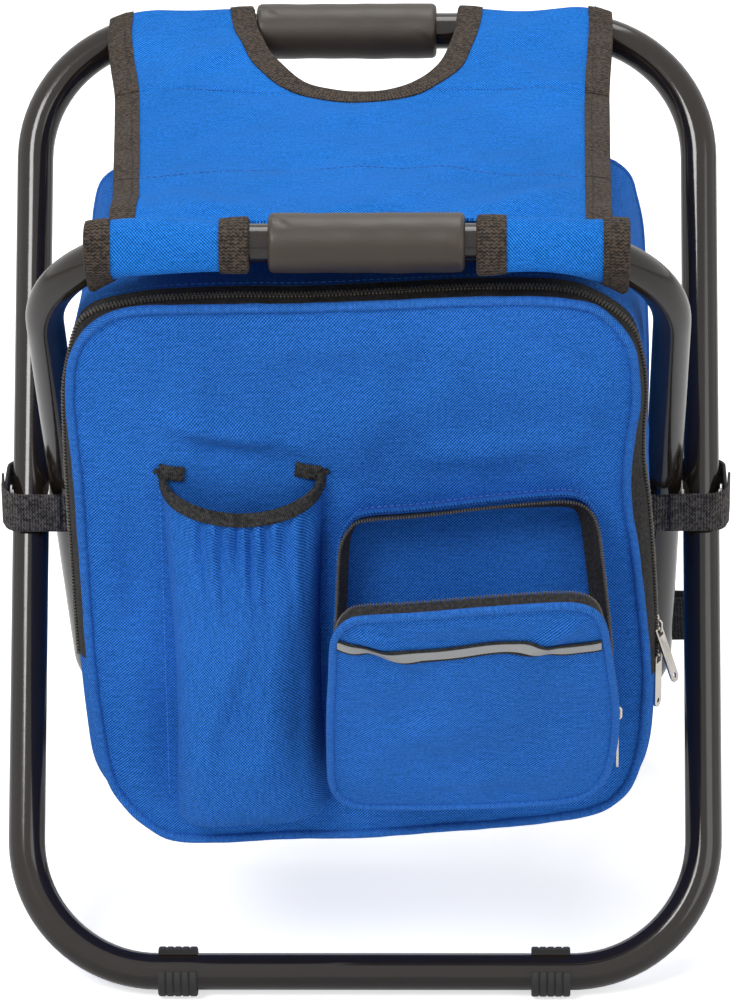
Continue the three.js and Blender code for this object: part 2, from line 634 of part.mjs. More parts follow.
function seatSling() {
  const front = [];
  const back = [];
  for (let i = 0; i <= SEAT_Y_STEPS; i += 1) {
    const share = i / SEAT_Y_STEPS;
    const row = SEAT_X_SHARES.map((xShare) => seatNode(xShare * SEAT_HALF_WIDTH, share));
    front.push(row.map((p) => p.clone().setZ(p.z + SEAT_THICKNESS / 2)));
    back.push(row.map((p) => p.clone().setZ(p.z - SEAT_THICKNESS / 2)));
  }
  const cloth = join(sheetBetween(front, back), sleeve(1), sleeve(-1));
  const rear = handCut(REAR_CUT_WIDTH, REAR_CUT_SHIFT, REAR_CUT_DEPTH, REAR_CUT_CORNER, 1);
  const near = handCut(FRONT_CUT_WIDTH, FRONT_CUT_SHIFT, FRONT_CUT_DEPTH, FRONT_CUT_CORNER, -1);
  return cut(cloth, rear, near);
}

// A point of the sling at a share of the way from the rear bar to the front bar.
function seatNode(x, share) {
  const rear = topBarCentre(x, 1).point;
  const front = topBarCentre(x, -1).point;
  return seatPoint(x, THREE.MathUtils.lerp(rear.y, front.y, share));
}

// A folded binding in section: two layers and a fold, with a slot that the fabric's edge sits in.
function bindingSection(width) {
  const slot = SEAT_THICKNESS / 2 + SEAT_GAP;
  const skin = slot + BINDING_THICKNESS;
  const fold = -SEAT_GAP - BINDING_THICKNESS;
  return [
    [fold, -skin], [0, -skin], [width, -skin], [width, -slot], [0, -slot], [-SEAT_GAP, -slot],
    [-SEAT_GAP, slot], [0, slot], [width, slot], [width, skin], [0, skin], [fold, skin],
  ];
}

function sideBinding(side) {
  const width = (SEAT_X_SHARES[1] - SEAT_X_SHARES[0]) * SEAT_HALF_WIDTH;
  const rings = [];
  for (let i = 1; i < SEAT_Y_STEPS; i += 1) {
    const share = i / SEAT_Y_STEPS;
    rings.push(bindingSection(width).map(([into, lift]) => {
      const x = side * (SEAT_HALF_WIDTH - Math.max(into, 0));
      const p = seatNode(x, share);
      return new THREE.Vector3(p.x - side * Math.min(into, 0), p.y, p.z + lift);
    }));
  }
  return loft(rings);
}

function cutBinding(width, shift, depth, corner, lean) {
  const clear = SLEEVE_MID_RADIUS + SEAT_THICKNESS + BINDING_THICKNESS;
  const start = lean * (TOP_BAR_Y - clear);
  const end = lean * (TOP_BAR_Y - depth);
  const rings = cutPath(width, shift, corner, start, end, -lean).map(({ point, inward }) => {
    return bindingSection(CUT_BINDING_WIDTH).map(([into, lift]) => {
      const p = seatPoint(point.x + inward.x * into, point.y + inward.y * into);
      return p.setZ(p.z + lift);
    });
  });
  return loft(rings);
}

// Rounded outline of the bag in X and Z, set in by a distance, as points that match ring to ring.
function bagOutline(inset) {
  const half = BAG_HALF_WIDTH - inset;
  return roundedOutline(-half, half, BAG_BOTTOM_Z + inset, BAG_TOP_Z - inset,
    BAG_TOP_RADIUS - inset, BAG_BOTTOM_RADIUS - inset);
}

// Runs from the lower left corner up the left side, over the top and down the right side.
function roundedOutline(left, right, bottom, top, topRadius, bottomRadius) {
  const corners = [
    { x: left + bottomRadius, z: bottom + bottomRadius, radius: bottomRadius, start: -Math.PI / 2 },
    { x: left + topRadius, z: top - topRadius, radius: topRadius, start: -Math.PI },
    { x: right - topRadius, z: top - topRadius, radius: topRadius, start: Math.PI / 2 },
    { x: right - bottomRadius, z: bottom + bottomRadius, radius: bottomRadius, start: 0 },
  ];
  return corners.flatMap(({ x, z, radius, start }) => {
    const points = [];
    for (let i = 0; i <= CORNER_STEPS; i += 1) {
      const angle = start - (Math.PI / 2) * (i / CORNER_STEPS);
      points.push(new THREE.Vector2(x + radius * Math.cos(angle), z + radius * Math.sin(angle)));
    }
    return points;
  });
}

const ringAt = (outline, y) => outline.map((p) => new THREE.Vector3(p.x, y, p.y));

// A flat panel of the outline, from one depth to another.
const panel = (outline, from, to) => loft([ringAt(outline, from), ringAt(outline, to)]);

// A wall that follows the whole outline, open at the front and at the back.
function wallRing(outer, inner, from, to) {
  return loft([ringAt(outer, from), ringAt(outer, to), ringAt(inner, to), ringAt(inner, from)], true);
}

// A tub with a back and an open front.
function openTub(outer, inner, front, back, thickness) {
  const inside = [ringAt(inner, back - thickness), ringAt(inner, front)];
  return loft([...inside, ringAt(outer, front), ringAt(outer, back)]);
}

// The part of an outline above a height, ending exactly at that height on both sides.
function outlineAbove(outline, height) {
  const above = outline.filter((p) => p.y > height);
  const first = new THREE.Vector2(above[0].x, height);
  const last = new THREE.Vector2(above[above.length - 1].x, height);
  return [first, ...above, last];
}

// A strip that runs along matching outlines above a height, such as a zip tape or a coil.
function stripAbove(outer, inner, height, from, to) {
  const outside = outlineAbove(outer, height);
  const inside = outlineAbove(inner, height);
  return loft(outside.map((p, i) => [
    new THREE.Vector3(p.x, from, p.y),
    new THREE.Vector3(p.x, to, p.y),
    new THREE.Vector3(inside[i].x, to, inside[i].y),
    new THREE.Vector3(inside[i].x, from, inside[i].y),
  ]));
}

// A round piping that follows a closed outline.
function pipingRing(outlineFor, y, radius, inset) {
  const rings = [];
  for (let i = 0; i < PIPING_SIDES; i += 1) {
    const angle = (2 * Math.PI * i) / PIPING_SIDES;
    rings.push(ringAt(outlineFor(inset + radius * Math.cos(angle)), y + radius * Math.sin(angle)));
  }
  return loft(rings, true);
}

function bagGusset() {
  const ring = wallRing(bagOutline(0), bagOutline(FABRIC_THICKNESS), FRONT_TAPE_Y, BAG_REAR_REACH);
  const depth = GUSSET_FRONT_Y - FRONT_TAPE_Y + CUT_OVERRUN;
  const height = BAG_TOP_Z - ZIP_END_Z + CUT_OVERRUN;
  const zipSpace = block(2 * BAG_HALF_WIDTH + CUT_OVERRUN, depth, height,
    0, GUSSET_FRONT_Y - depth / 2, ZIP_END_Z - SEAT_GAP + height / 2);
  return cut(ring, zipSpace);
}

const zipStrip = (from, width, thickness, proud) => stripAbove(
  bagOutline(-proud), bagOutline(thickness), ZIP_END_Z, from, from + width);

// Bottle pocket: a shell that bulges from the panel and closes at its rounded bottom.
function bottlePocketPoint(across, rise) {
  const half = BOTTLE_POCKET_WIDTH / 2;
  const bulge = THREE.MathUtils.lerp(BOTTLE_POCKET_DEPTH, BOTTLE_MOUTH_DEPTH, rise * rise);
  const foot = Math.sqrt(Math.min(1, rise / BOTTLE_FOOT_SHARE));
  const round = Math.sqrt(Math.max(0, 1 - across ** BOTTLE_ROUND_POWER));
  const sag = BOTTLE_MOUTH_SAG * (1 - across * across) * rise * rise;
  const bottom = BAG_BOTTOM_Z + BOTTLE_POCKET_BOTTOM;
  const z = bottom + BOTTLE_POCKET_HEIGHT * rise - sag;
  const y = POCKET_BACK_Y - POCKET_FABRIC - bulge * foot * round;
  return new THREE.Vector3(BOTTLE_POCKET_CENTRE + across * half, y, z);
}

function bottlePocket() {
  const front = [];
  const back = [];
  for (let i = 0; i <= BOTTLE_STEPS; i += 1) {
    const rise = (i / BOTTLE_STEPS) ** BOTTLE_ROW_POWER;
    const outside = [];
    const inside = [];
    for (let j = 0; j <= BOTTLE_STEPS; j += 1) {
      const across = Math.sin((Math.PI / 2) * ((2 * j) / BOTTLE_STEPS - 1));
      const p = bottlePocketPoint(across, rise);
      const floor = (1 - rise) ** BOTTLE_FLOOR_POWER;
      const shift = new THREE.Vector3(-across, 1, floor).multiplyScalar(POCKET_FABRIC);
      outside.push(p);
      inside.push(p.clone().add(shift));
    }
    front.push(outside);
    back.push(inside);
  }
  return sheetBetween(front, back);
}

// The elastic binding stands on the pocket's top edge and follows it.
function bottleElastic() {
  const rings = [];
  for (let j = 0; j <= BOTTLE_STEPS; j += 1) {
    const across = Math.sin((Math.PI / 2) * ((2 * j) / BOTTLE_STEPS - 1));
    const edge = bottlePocketPoint(across, 1);
    const inwards = new THREE.Vector3(-across * ELASTIC_THICKNESS, ELASTIC_THICKNESS, 0);
    const low = edge.clone().setZ(edge.z + SEAT_GAP);
    const high = edge.clone().setZ(edge.z + SEAT_GAP + ELASTIC_WIDTH);
    const back = (p) => p.clone().add(inwards).setY(Math.min(p.y + inwards.y, POCKET_BACK_Y));
    rings.push([low, high, back(high), back(low)]);
  }
  return loft(rings);
}

function zipPocketOutline(inset) {
  const half = ZIP_POCKET_WIDTH / 2 - inset;
  const radius = ZIP_POCKET_RADIUS - inset;
  return roundedOutline(ZIP_POCKET_CENTRE - half, ZIP_POCKET_CENTRE + half, ZIP_POCKET_BOTTOM_Z + inset,
    ZIP_POCKET_BOTTOM_Z + ZIP_POCKET_HEIGHT - inset, radius, radius);
}

// Flap pieces are made closed, then turned open about the bottom edge of the pocket.
function opened(geometry) {
  geometry.translate(0, -POCKET_FACE_Y, -ZIP_POCKET_BOTTOM_Z);
  geometry.rotateX(FLAP_OPEN_ANGLE);
  geometry.translate(0, POCKET_FACE_Y, ZIP_POCKET_BOTTOM_Z);
  return geometry;
}

function reflectiveStripe() {
  const half = ZIP_POCKET_WIDTH / 2 - FLAP_PIPING_DIAMETER - STRIPE_MARGIN;
  const level = ZIP_POCKET_BOTTOM_Z + ZIP_POCKET_HEIGHT - STRIPE_DROP;
  const face = FLAP_BACK_Y - POCKET_FABRIC - SEAT_GAP;
  const rings = [];
  for (let i = 0; i <= STRIPE_STEPS; i += 1) {
    const share = i / STRIPE_STEPS;
    const x = ZIP_POCKET_CENTRE + half * (2 * share - 1);
    const z = level - STRIPE_WAVE * Math.sin(2 * Math.PI * share);
    rings.push([
      new THREE.Vector3(x, face, z - STRIPE_WIDTH / 2),
      new THREE.Vector3(x, face, z + STRIPE_WIDTH / 2),
      new THREE.Vector3(x, face - STRIPE_THICKNESS, z + STRIPE_WIDTH / 2),
      new THREE.Vector3(x, face - STRIPE_THICKNESS, z - STRIPE_WIDTH / 2),
    ]);
  }
  return loft(rings);
}

// A slider in its own axes: plate in the YZ plane, nose up, with an arched crown for the pull.
function sliderBody() {
  const half = SLIDER_LENGTH / 2;
  const wide = SLIDER_WIDTH / 2;
  const nose = wide * SLIDER_NOSE_SHARE;
  const right = [[nose, -half], [wide, half / 2], [nose, half]];
  const left = [[-nose, half], [-wide, half / 2], [-nose, -half]];
  const outline = [...right, ...left];
  const at = (x) => outline.map(([y, z]) => new THREE.Vector3(x, y, z));
  const crownHalf = CROWN_LENGTH / 2;
  const arch = new THREE.Shape();
  arch.moveTo(-crownHalf, -CROWN_BAR);
  arch.lineTo(crownHalf, -CROWN_BAR);
  arch.lineTo(crownHalf, CROWN_HEIGHT - CROWN_BAR);
  arch.lineTo(crownHalf - CROWN_BAR, CROWN_HEIGHT);
  arch.lineTo(CROWN_BAR - crownHalf, CROWN_HEIGHT);
  arch.lineTo(-crownHalf, CROWN_HEIGHT - CROWN_BAR);
  arch.closePath();
  const opening = new THREE.Path();
  const eye = crownHalf - CROWN_BAR;
  opening.moveTo(-eye, 0);
  opening.lineTo(-eye, CROWN_HEIGHT - CROWN_BAR);
  opening.lineTo(eye, CROWN_HEIGHT - CROWN_BAR);
  opening.lineTo(eye, 0);
  opening.closePath();
  arch.holes.push(opening);
  const crown = new THREE.ExtrudeGeometry(arch, { depth: CROWN_BAR, bevelEnabled: false });
  crown.translate(0, 0, -CROWN_BAR / 2);
  crown.rotateX(Math.PI / 2);
  crown.rotateY(Math.PI / 2);
  crown.rotateX(Math.PI);
  crown.translate(SLIDER_PLATE, 0, 0);
  return join(loft([at(0), at(SLIDER_PLATE)]), weld(crown));
}

// A pull tab from its eye's top rim down: the eye, a long body and a round hole near its end.
function pullTab(lean) {
  const wide = PULL_WIDTH / 2;
  const top = PULL_RIM / 2;
  const end = top - PULL_LENGTH + wide;
  const shape = new THREE.Shape();
  shape.moveTo(-wide, top);
  shape.lineTo(-wide, end);
  shape.absarc(0, end, wide, Math.PI, 2 * Math.PI);
  shape.lineTo(wide, top);
  shape.closePath();
  const eye = new THREE.Path();
  const eyeHalf = wide - PULL_RIM;
  eye.moveTo(-eyeHalf, -top);
  eye.lineTo(-eyeHalf, -top - PULL_EYE);
  eye.lineTo(eyeHalf, -top - PULL_EYE);
  eye.lineTo(eyeHalf, -top);
  eye.closePath();
  const hole = new THREE.Path();
  hole.absarc(0, end, PULL_END_HOLE / 2, 0, 2 * Math.PI);
  shape.holes.push(eye, hole);
  const tab = new THREE.ExtrudeGeometry(shape, {
    depth: PULL_THICKNESS,
    bevelEnabled: false,
    curveSegments: CORNER_STEPS,
  });
  tab.translate(0, 0, -PULL_THICKNESS / 2);
  tab.rotateX(Math.PI / 2);
  tab.rotateZ(Math.PI / 2);
  tab.rotateY(-lean);
  tab.translate(PULL_PLANE, 0, -PULL_PIVOT_DROP);
  return weld(tab);
}

function placedSlider(x, y, z, lean) {
  const frame = new THREE.Matrix4().makeRotationZ(lean);
  frame.setPosition(x, y, z);
  return frame;
}

// A closed band round both legs of one side, seen from above.
function legBand(side) {
  const near = BAG_HALF_WIDTH + SEAT_GAP;
  const headFace = OUTER_LOOP_WIDTH / 2 + TUBE_RADIUS + SEAT_GAP + RIVET_HEAD_THICKNESS;
  const far = headFace + BAND_HEAD_CLEARANCE + BAND_THICKNESS;
  const legHalf = TUBE_RADIUS / Math.cos(OPEN_HALF_ANGLE) + (BAND_WIDTH / 2) * Math.tan(OPEN_HALF_ANGLE);
  const deep = legHalf + BAND_LEG_CLEARANCE + BAND_THICKNESS;
  const loop = (inset) => roundedOutline(near + inset, far - inset, inset - deep, deep - inset,
    BAND_CORNER - inset, BAND_CORNER - inset);
  const level = (outline, z) => outline.map((p) => new THREE.Vector3(side * p.x, p.y, z));
  const low = PIVOT_Z - BAND_WIDTH / 2;
  const high = PIVOT_Z + BAND_WIDTH / 2;
  return loft([level(loop(0), low), level(loop(0), high),
    level(loop(BAND_THICKNESS), high), level(loop(BAND_THICKNESS), low)], true);
}

function shoulderPad(side) {
  const centre = (side * PAD_SPACING) / 2;
  const outline = (inset) => roundedOutline(centre - PAD_WIDTH / 2 + inset, centre + PAD_WIDTH / 2 - inset,
    PAD_BOTTOM_Z + inset, PAD_TOP_Z - inset, PAD_CORNER - inset, PAD_CORNER - inset);
  return loft([
    ringAt(outline(PAD_SOFT_EDGE), PAD_BACK_Y),
    ringAt(outline(0), PAD_BACK_Y + PAD_SOFT_EDGE),
    ringAt(outline(0), PAD_BACK_Y + PAD_THICKNESS - PAD_SOFT_EDGE),
    ringAt(outline(PAD_SOFT_EDGE), PAD_BACK_Y + PAD_THICKNESS),
  ]);
}

// A three-bar adjuster below each pad, with two slots for the webbing.
function strapAdjuster(side) {
  const centre = (side * PAD_SPACING) / 2;
  const half = ADJUSTER_WIDTH / 2;
  const shape = new THREE.Shape();
  shape.moveTo(-half, 0);
  shape.lineTo(half, 0);
  shape.lineTo(half, -ADJUSTER_HEIGHT);
  shape.lineTo(-half, -ADJUSTER_HEIGHT);
  shape.closePath();
  const slotHalf = half - ADJUSTER_BAR;
  for (const top of [-ADJUSTER_BAR, ADJUSTER_BAR + ADJUSTER_SLOT - ADJUSTER_HEIGHT]) {
    const slot = new THREE.Path();
    slot.moveTo(-slotHalf, top);
    slot.lineTo(-slotHalf, top - ADJUSTER_SLOT);
    slot.lineTo(slotHalf, top - ADJUSTER_SLOT);
    slot.lineTo(slotHalf, top);
    slot.closePath();
    shape.holes.push(slot);
  }
  const geometry = new THREE.ExtrudeGeometry(shape, { depth: ADJUSTER_THICKNESS, bevelEnabled: false });
  geometry.rotateX(Math.PI / 2);
  geometry.translate(centre, ADJUSTER_Y + ADJUSTER_THICKNESS / 2, ADJUSTER_TOP_Z);
  return weld(geometry);
}

// Down from the adjuster, out to the slack loop and back to the lower corner of the back panel.
function webbingRoute(side, slack) {
  const lane = PAD_BACK_Y + WEBBING_THICKNESS;
  const startY = ADJUSTER_Y + ADJUSTER_THICKNESS / 2 + SEAT_GAP + WEBBING_THICKNESS / 2;
  const startX = PAD_SPACING / 2;
  const loopX = BAG_HALF_WIDTH + slack.past;
  const cornerX = Math.min(loopX, BAG_HALF_WIDTH - STRAP_CORNER_INSET);
  const footX = BAG_HALF_WIDTH - BAG_BOTTOM_RADIUS;
  const at = (x, y, z) => new THREE.Vector3(side * x, y, z);
  const startZ = ADJUSTER_TOP_Z - ADJUSTER_HEIGHT / 2;
  const returnY = slack.back + slack.hairpin;
  return new THREE.CatmullRomCurve3([
    at(startX, startY, startZ),
    at(startX, startY + 2 * WEBBING_THICKNESS, startZ - WEBBING_WIDTH / 2),
    at((startX + cornerX) / 2, (startY + slack.back) / 2, (startZ + slack.height) / 2),
    at(cornerX, slack.back, slack.height + WEBBING_THICKNESS),
    at(loopX, slack.back, slack.height),
    at(loopX + slack.hairpin / 2, slack.back + slack.hairpin / 2, slack.height),
    at(loopX, returnY, slack.height - WEBBING_THICKNESS),
    at(cornerX, returnY, slack.height - WEBBING_THICKNESS),
    at(cornerX, (lane + returnY) / 2, (slack.height + STRAP_FOOT_Z) / 2),
    at(footX + WEBBING_WIDTH / 2, lane, STRAP_FOOT_Z),
    at(footX, lane, STRAP_FOOT_Z),
  ], false, 'centripetal');
}

// Flat webbing swept along its route: it leaves the adjuster upright and turns on edge for the loop.
function shoulderWebbing(side, slack) {
  const lane = PAD_BACK_Y + WEBBING_THICKNESS;
  const points = webbingRoute(side, slack).getSpacedPoints(WEBBING_STEPS);
  points.forEach((p) => p.setY(Math.max(p.y, lane)));
  const rings = points.map((point, i) => {
    const next = points[Math.min(i + 1, WEBBING_STEPS)];
    const tangent = next.clone().sub(points[Math.max(i - 1, 0)]).normalize();
    const turnShare = THREE.MathUtils.smoothstep(i / WEBBING_STEPS, ...WEBBING_TURN_SHARES);
    const wide = new THREE.Vector3(1 - turnShare, 0, turnShare).normalize();
    const flat = wide.clone().cross(tangent).setLength(WEBBING_THICKNESS / 2);
    wide.multiplyScalar(WEBBING_WIDTH / 2);
    return [
      point.clone().add(wide).add(flat), point.clone().sub(wide).add(flat),
      point.clone().sub(wide).sub(flat), point.clone().add(wide).sub(flat),
    ];
  });
  return loft(rings);
}

function frame(group) {
  const outerLoop = new THREE.Group();
  outerLoop.position.z = PIVOT_Z;
  outerLoop.rotation.x = -OPEN_HALF_ANGLE;
  outerLoop.add(named('outer_tube', bentLoop(OUTER_LOOP_WIDTH, OUTER_BEND_RADIUS), paintedSteel));
  const innerLoop = new THREE.Group();
  innerLoop.position.z = PIVOT_Z;
  innerLoop.rotation.x = OPEN_HALF_ANGLE;
  innerLoop.add(named('inner_tube', bentLoop(INNER_LOOP_WIDTH, INNER_BEND_RADIUS), paintedSteel));
  const rearGrip = named('rear_grip', handGrip(REAR_GRIP_SHIFT), foamRubber);
  rearGrip.position.z = TOP_REACH;
  outerLoop.add(rearGrip);
  const frontGrip = named('front_grip', handGrip(FRONT_GRIP_SHIFT), foamRubber);
  frontGrip.position.z = TOP_REACH;
  innerLoop.add(frontGrip);
  group.add(outerLoop, innerLoop);
  for (const [label, side] of [['left', -1], ['right', 1]]) {
    const rivet = named(`pivot_rivet_${label}`, pivotRivet(side), zincSteel);
    const washer = named(`pivot_washer_${label}`, pivotWasher(side), nylon);
    rivet.position.z = PIVOT_Z;
    washer.position.z = PIVOT_Z;
    group.add(rivet, washer);
    group.add(named(`front_foot_${label}`, ribbedFoot(side * FRONT_FOOT_X, -1), footRubber));
    group.add(named(`rear_foot_${label}`, ribbedFoot(side * REAR_FOOT_X, 1), footRubber));
  }
}

function seat(group) {
  group.add(named('seat_sling', seatSling(), seatFabric));
  group.add(named('seat_binding_left', sideBinding(-1), webbing));
  group.add(named('seat_binding_right', sideBinding(1), webbing));
  group.add(named('rear_cutout_binding',
    cutBinding(REAR_CUT_WIDTH, REAR_CUT_SHIFT, REAR_CUT_DEPTH, REAR_CUT_CORNER, 1), webbing));
  group.add(named('front_cutout_binding',
    cutBinding(FRONT_CUT_WIDTH, FRONT_CUT_SHIFT, FRONT_CUT_DEPTH, FRONT_CUT_CORNER, -1), webbing));
}

function bag(group) {
  const backY = BAG_REAR_REACH + SEAT_GAP;
  const foamIn = bagOutline(FOAM_INSET + FOAM_THICKNESS);
  const foilIn = bagOutline(FOIL_INSET + FOIL_THICKNESS);
  const foilBack = BAG_REAR_REACH - FOAM_THICKNESS - SEAT_GAP;
  group.add(named('bag_gusset', bagGusset(), bagFabric));
  group.add(named('bag_back_panel', panel(bagOutline(0), backY, BACK_FACE_Y), bagFabric));
  group.add(named('insulation_foam',
    openTub(bagOutline(FOAM_INSET), foamIn, TUB_FRONT_Y, BAG_REAR_REACH, FOAM_THICKNESS), whiteFoam));
  group.add(named('foil_liner',
    openTub(bagOutline(FOIL_INSET), foilIn, TUB_FRONT_Y, foilBack, FOIL_THICKNESS), silverFoil));
  group.add(named('zip_tape_rear', zipStrip(REAR_TAPE_Y, ZIP_TAPE_WIDTH, ZIP_TAPE_THICKNESS, 0), zipTape));
  group.add(named('zip_coil_rear',
    zipStrip(REAR_COIL_Y, ZIP_COIL_WIDTH, ZIP_TAPE_THICKNESS, ZIP_COIL_PROUD), zipCoil));
  group.add(named('side_strap_left', legBand(-1), webbing));
  group.add(named('side_strap_right', legBand(1), webbing));
}

function lid(group) {
  const inside = bagOutline(LID_INSET);
  group.add(named('front_panel', panel(inside, PANEL_FRONT_Y, PANEL_BACK_Y), bagFabric));
  group.add(named('lid_foam', panel(inside, LID_FOAM_Y, LID_FOAM_Y + FOAM_THICKNESS), whiteFoam));
  group.add(named('lid_foil', panel(inside, LID_FOIL_Y, LID_FOIL_Y + FOIL_THICKNESS), silverFoil));
  group.add(named('front_piping', pipingRing(bagOutline, PIPING_Y, PIPING_RADIUS, PIPING_INSET), bagFabric));
  group.add(named('zip_tape_front', zipStrip(FRONT_TAPE_Y, ZIP_TAPE_WIDTH, ZIP_TAPE_THICKNESS, 0), zipTape));
  group.add(named('zip_coil_front',
    zipStrip(FRONT_COIL_Y, ZIP_COIL_WIDTH, ZIP_TAPE_THICKNESS, ZIP_COIL_PROUD), zipCoil));
}

function pockets(group) {
  const wall = zipPocketOutline(POCKET_FABRIC);
  const flapRing = (from, width) => wallRing(zipPocketOutline(0), wall, from, from + width);
  const tapeY = POCKET_RIM_Y - SEAT_GAP - POCKET_TAPE_WIDTH;
  const flapInside = zipPocketOutline(FLAP_PIPING_DIAMETER + SEAT_GAP);
  const piping = pipingRing(zipPocketOutline, FLAP_PIPING_Y, FLAP_PIPING_RADIUS, FLAP_PIPING_RADIUS);
  group.add(named('bottle_pocket', bottlePocket(), bagFabric));
  group.add(named('bottle_pocket_elastic', bottleElastic(), webbing));
  group.add(named('zip_pocket_gusset', flapRing(POCKET_RIM_Y, ZIP_POCKET_GUSSET), pocketLining));
  group.add(named('zip_pocket_tape', flapRing(tapeY, POCKET_TAPE_WIDTH), zipTape));
  group.add(named('zip_pocket_coil', flapRing(POCKET_FACE_Y, POCKET_COIL_WIDTH), zipCoil));
  group.add(named('flap_coil', opened(flapRing(FLAP_COIL_Y, POCKET_COIL_WIDTH)), zipCoil));
  group.add(named('flap_tape', opened(flapRing(FLAP_TAPE_Y, POCKET_TAPE_WIDTH)), zipTape));
  const flapPanel = panel(flapInside, FLAP_BACK_Y - POCKET_FABRIC, FLAP_BACK_Y);
  group.add(named('flap_panel', opened(flapPanel), bagFabric));
  group.add(named('flap_piping', opened(piping), bagFabric));
  group.add(named('reflective_stripe', opened(reflectiveStripe()), greyReflector));
}

function sliders(group) {
  const mainX = BAG_HALF_WIDTH + ZIP_COIL_PROUD + SEAT_GAP + (SLIDER_WIDTH / 2) * Math.sin(-SLIDER_LEAN);
  const mainY = (FRONT_COIL_Y + REAR_COIL_Y + ZIP_COIL_WIDTH) / 2;
  const firstZ = ZIP_END_Z + SLIDER_LENGTH / 2;
  const pocketX = ZIP_POCKET_CENTRE + ZIP_POCKET_WIDTH / 2 + SEAT_GAP;
  const pocketZ = ZIP_POCKET_BOTTOM_Z + POCKET_SLIDER_HEIGHT;
  const places = [
    ['main', '_lower', placedSlider(mainX, mainY, firstZ, SLIDER_LEAN), 0],
    ['main', '_upper', placedSlider(mainX, mainY, firstZ + SLIDER_SPACING, SLIDER_LEAN), UPPER_PULL_LEAN],
    ['pocket', '', placedSlider(pocketX, POCKET_COIL_Y, pocketZ, 0), 0],
  ];
  for (const [zip, place, matrix, lean] of places) {
    const slider = named(`${zip}_slider${place}`, sliderBody().applyMatrix4(matrix), nickel);
    const pull = named(`${zip}_pull${place}`, pullTab(lean).applyMatrix4(matrix), nickel);
    group.add(slider, pull);
  }
}

function shoulderStraps(group) {
  for (const [label, side] of [['left', -1], ['right', 1]]) {
    group.add(named(`shoulder_pad_${label}`, shoulderPad(side), blackWebbing));
    group.add(named(`strap_adjuster_${label}`, strapAdjuster(side), blackPlastic));
    group.add(named(`shoulder_webbing_${label}`, shoulderWebbing(side, STRAP_LOOPS[label]), blackWebbing));
  }
}

const group = new THREE.Group();
frame(group);
seat(group);
bag(group);
lid(group);
pockets(group);
sliders(group);
shoulderStraps(group);

// The origin stands on the floor below the middle of the whole stool.
group.updateMatrixWorld(true);
const extent = new THREE.Box3().setFromObject(group, true);
group.position.set(-(extent.min.x + extent.max.x) / 2, -(extent.min.y + extent.max.y) / 2, -extent.min.z);
group.updateMatrixWorld(true);

export default group;
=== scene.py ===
"""Looks of a folding cooler stool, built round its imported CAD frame.

Pieces are worked out in millimetres, with y = 0 at the pivots and z = 0 on the floor, and are turned into the
frame's metres when their meshes are made.
"""

from __future__ import annotations

import json
import logging
import math
from dataclasses import dataclass
from enum import Enum
from functools import cache, cached_property
from typing import Callable, Iterable, Sequence

import bmesh
import bpy
import numpy as np
from mathutils import Matrix, Vector
from mathutils.geometry import delaunay_2d_cdt

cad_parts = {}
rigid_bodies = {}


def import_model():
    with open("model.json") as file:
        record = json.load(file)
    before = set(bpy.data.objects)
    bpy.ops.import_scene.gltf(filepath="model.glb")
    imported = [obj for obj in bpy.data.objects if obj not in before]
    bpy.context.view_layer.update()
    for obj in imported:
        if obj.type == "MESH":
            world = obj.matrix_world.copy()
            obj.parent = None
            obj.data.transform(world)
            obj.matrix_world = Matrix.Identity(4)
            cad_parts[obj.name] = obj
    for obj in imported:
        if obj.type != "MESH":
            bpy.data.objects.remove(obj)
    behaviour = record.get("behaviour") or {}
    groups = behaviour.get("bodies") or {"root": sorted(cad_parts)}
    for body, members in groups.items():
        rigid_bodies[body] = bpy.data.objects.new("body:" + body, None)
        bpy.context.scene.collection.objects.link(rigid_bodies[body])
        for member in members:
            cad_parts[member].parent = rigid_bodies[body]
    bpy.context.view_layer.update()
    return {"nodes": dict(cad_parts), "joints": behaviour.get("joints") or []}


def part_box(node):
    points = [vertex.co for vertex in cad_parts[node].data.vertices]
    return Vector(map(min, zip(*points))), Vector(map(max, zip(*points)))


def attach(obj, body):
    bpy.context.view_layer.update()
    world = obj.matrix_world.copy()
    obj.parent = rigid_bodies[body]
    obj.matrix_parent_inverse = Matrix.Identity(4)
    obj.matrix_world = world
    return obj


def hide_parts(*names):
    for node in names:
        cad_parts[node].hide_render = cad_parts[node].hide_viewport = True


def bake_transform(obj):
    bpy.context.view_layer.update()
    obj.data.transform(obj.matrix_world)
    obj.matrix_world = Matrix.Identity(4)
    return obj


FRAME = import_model()
LOG = logging.getLogger("stool")
MM = 0.001
JOINTS = {joint["name"]: joint for joint in FRAME["joints"]}
PIVOT = Vector(JOINTS["fold"]["pos_m"])
PIVOT_Z = PIVOT.z / MM
Piece = bpy.types.Object
Socket = bpy.types.NodeSocket
Points = np.ndarray
Color = tuple[float, float, float]
Surface = Callable[[Points], Points]
INWARDS = np.array([0.0, 1.0, 0.0])
UPWARDS = np.array([0.0, 0.0, 1.0])
SEAM_STITCH = (2.3, 0.6, 0.5)
CUT_EDGE = 50.0
SIDES = (("left", -1.0), ("right", 1.0))
WHITE = (1.0, 1.0, 1.0, 1.0)


def in_frame(points: Points) -> Points:
    """Turns millimetre points about the pivots into the frame's metres.

    Args:
        points: Rows of x, y, z in millimetres.

    Returns:
        Rows of x, y, z in metres.
    """
    return np.asarray(points, float) * MM + np.array([0.0, PIVOT.y, 0.0])


@cache
def node_box(name: str) -> tuple[Points, Points]:
    """Gives a CAD node's box in millimetres about the pivots.

    Args:
        name: The node's name.

    Returns:
        The lowest and the highest corner.
    """
    shift = np.array([0.0, PIVOT.y, 0.0])
    low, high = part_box(name)
    return (np.array(low) - shift) / MM, (np.array(high) - shift) / MM


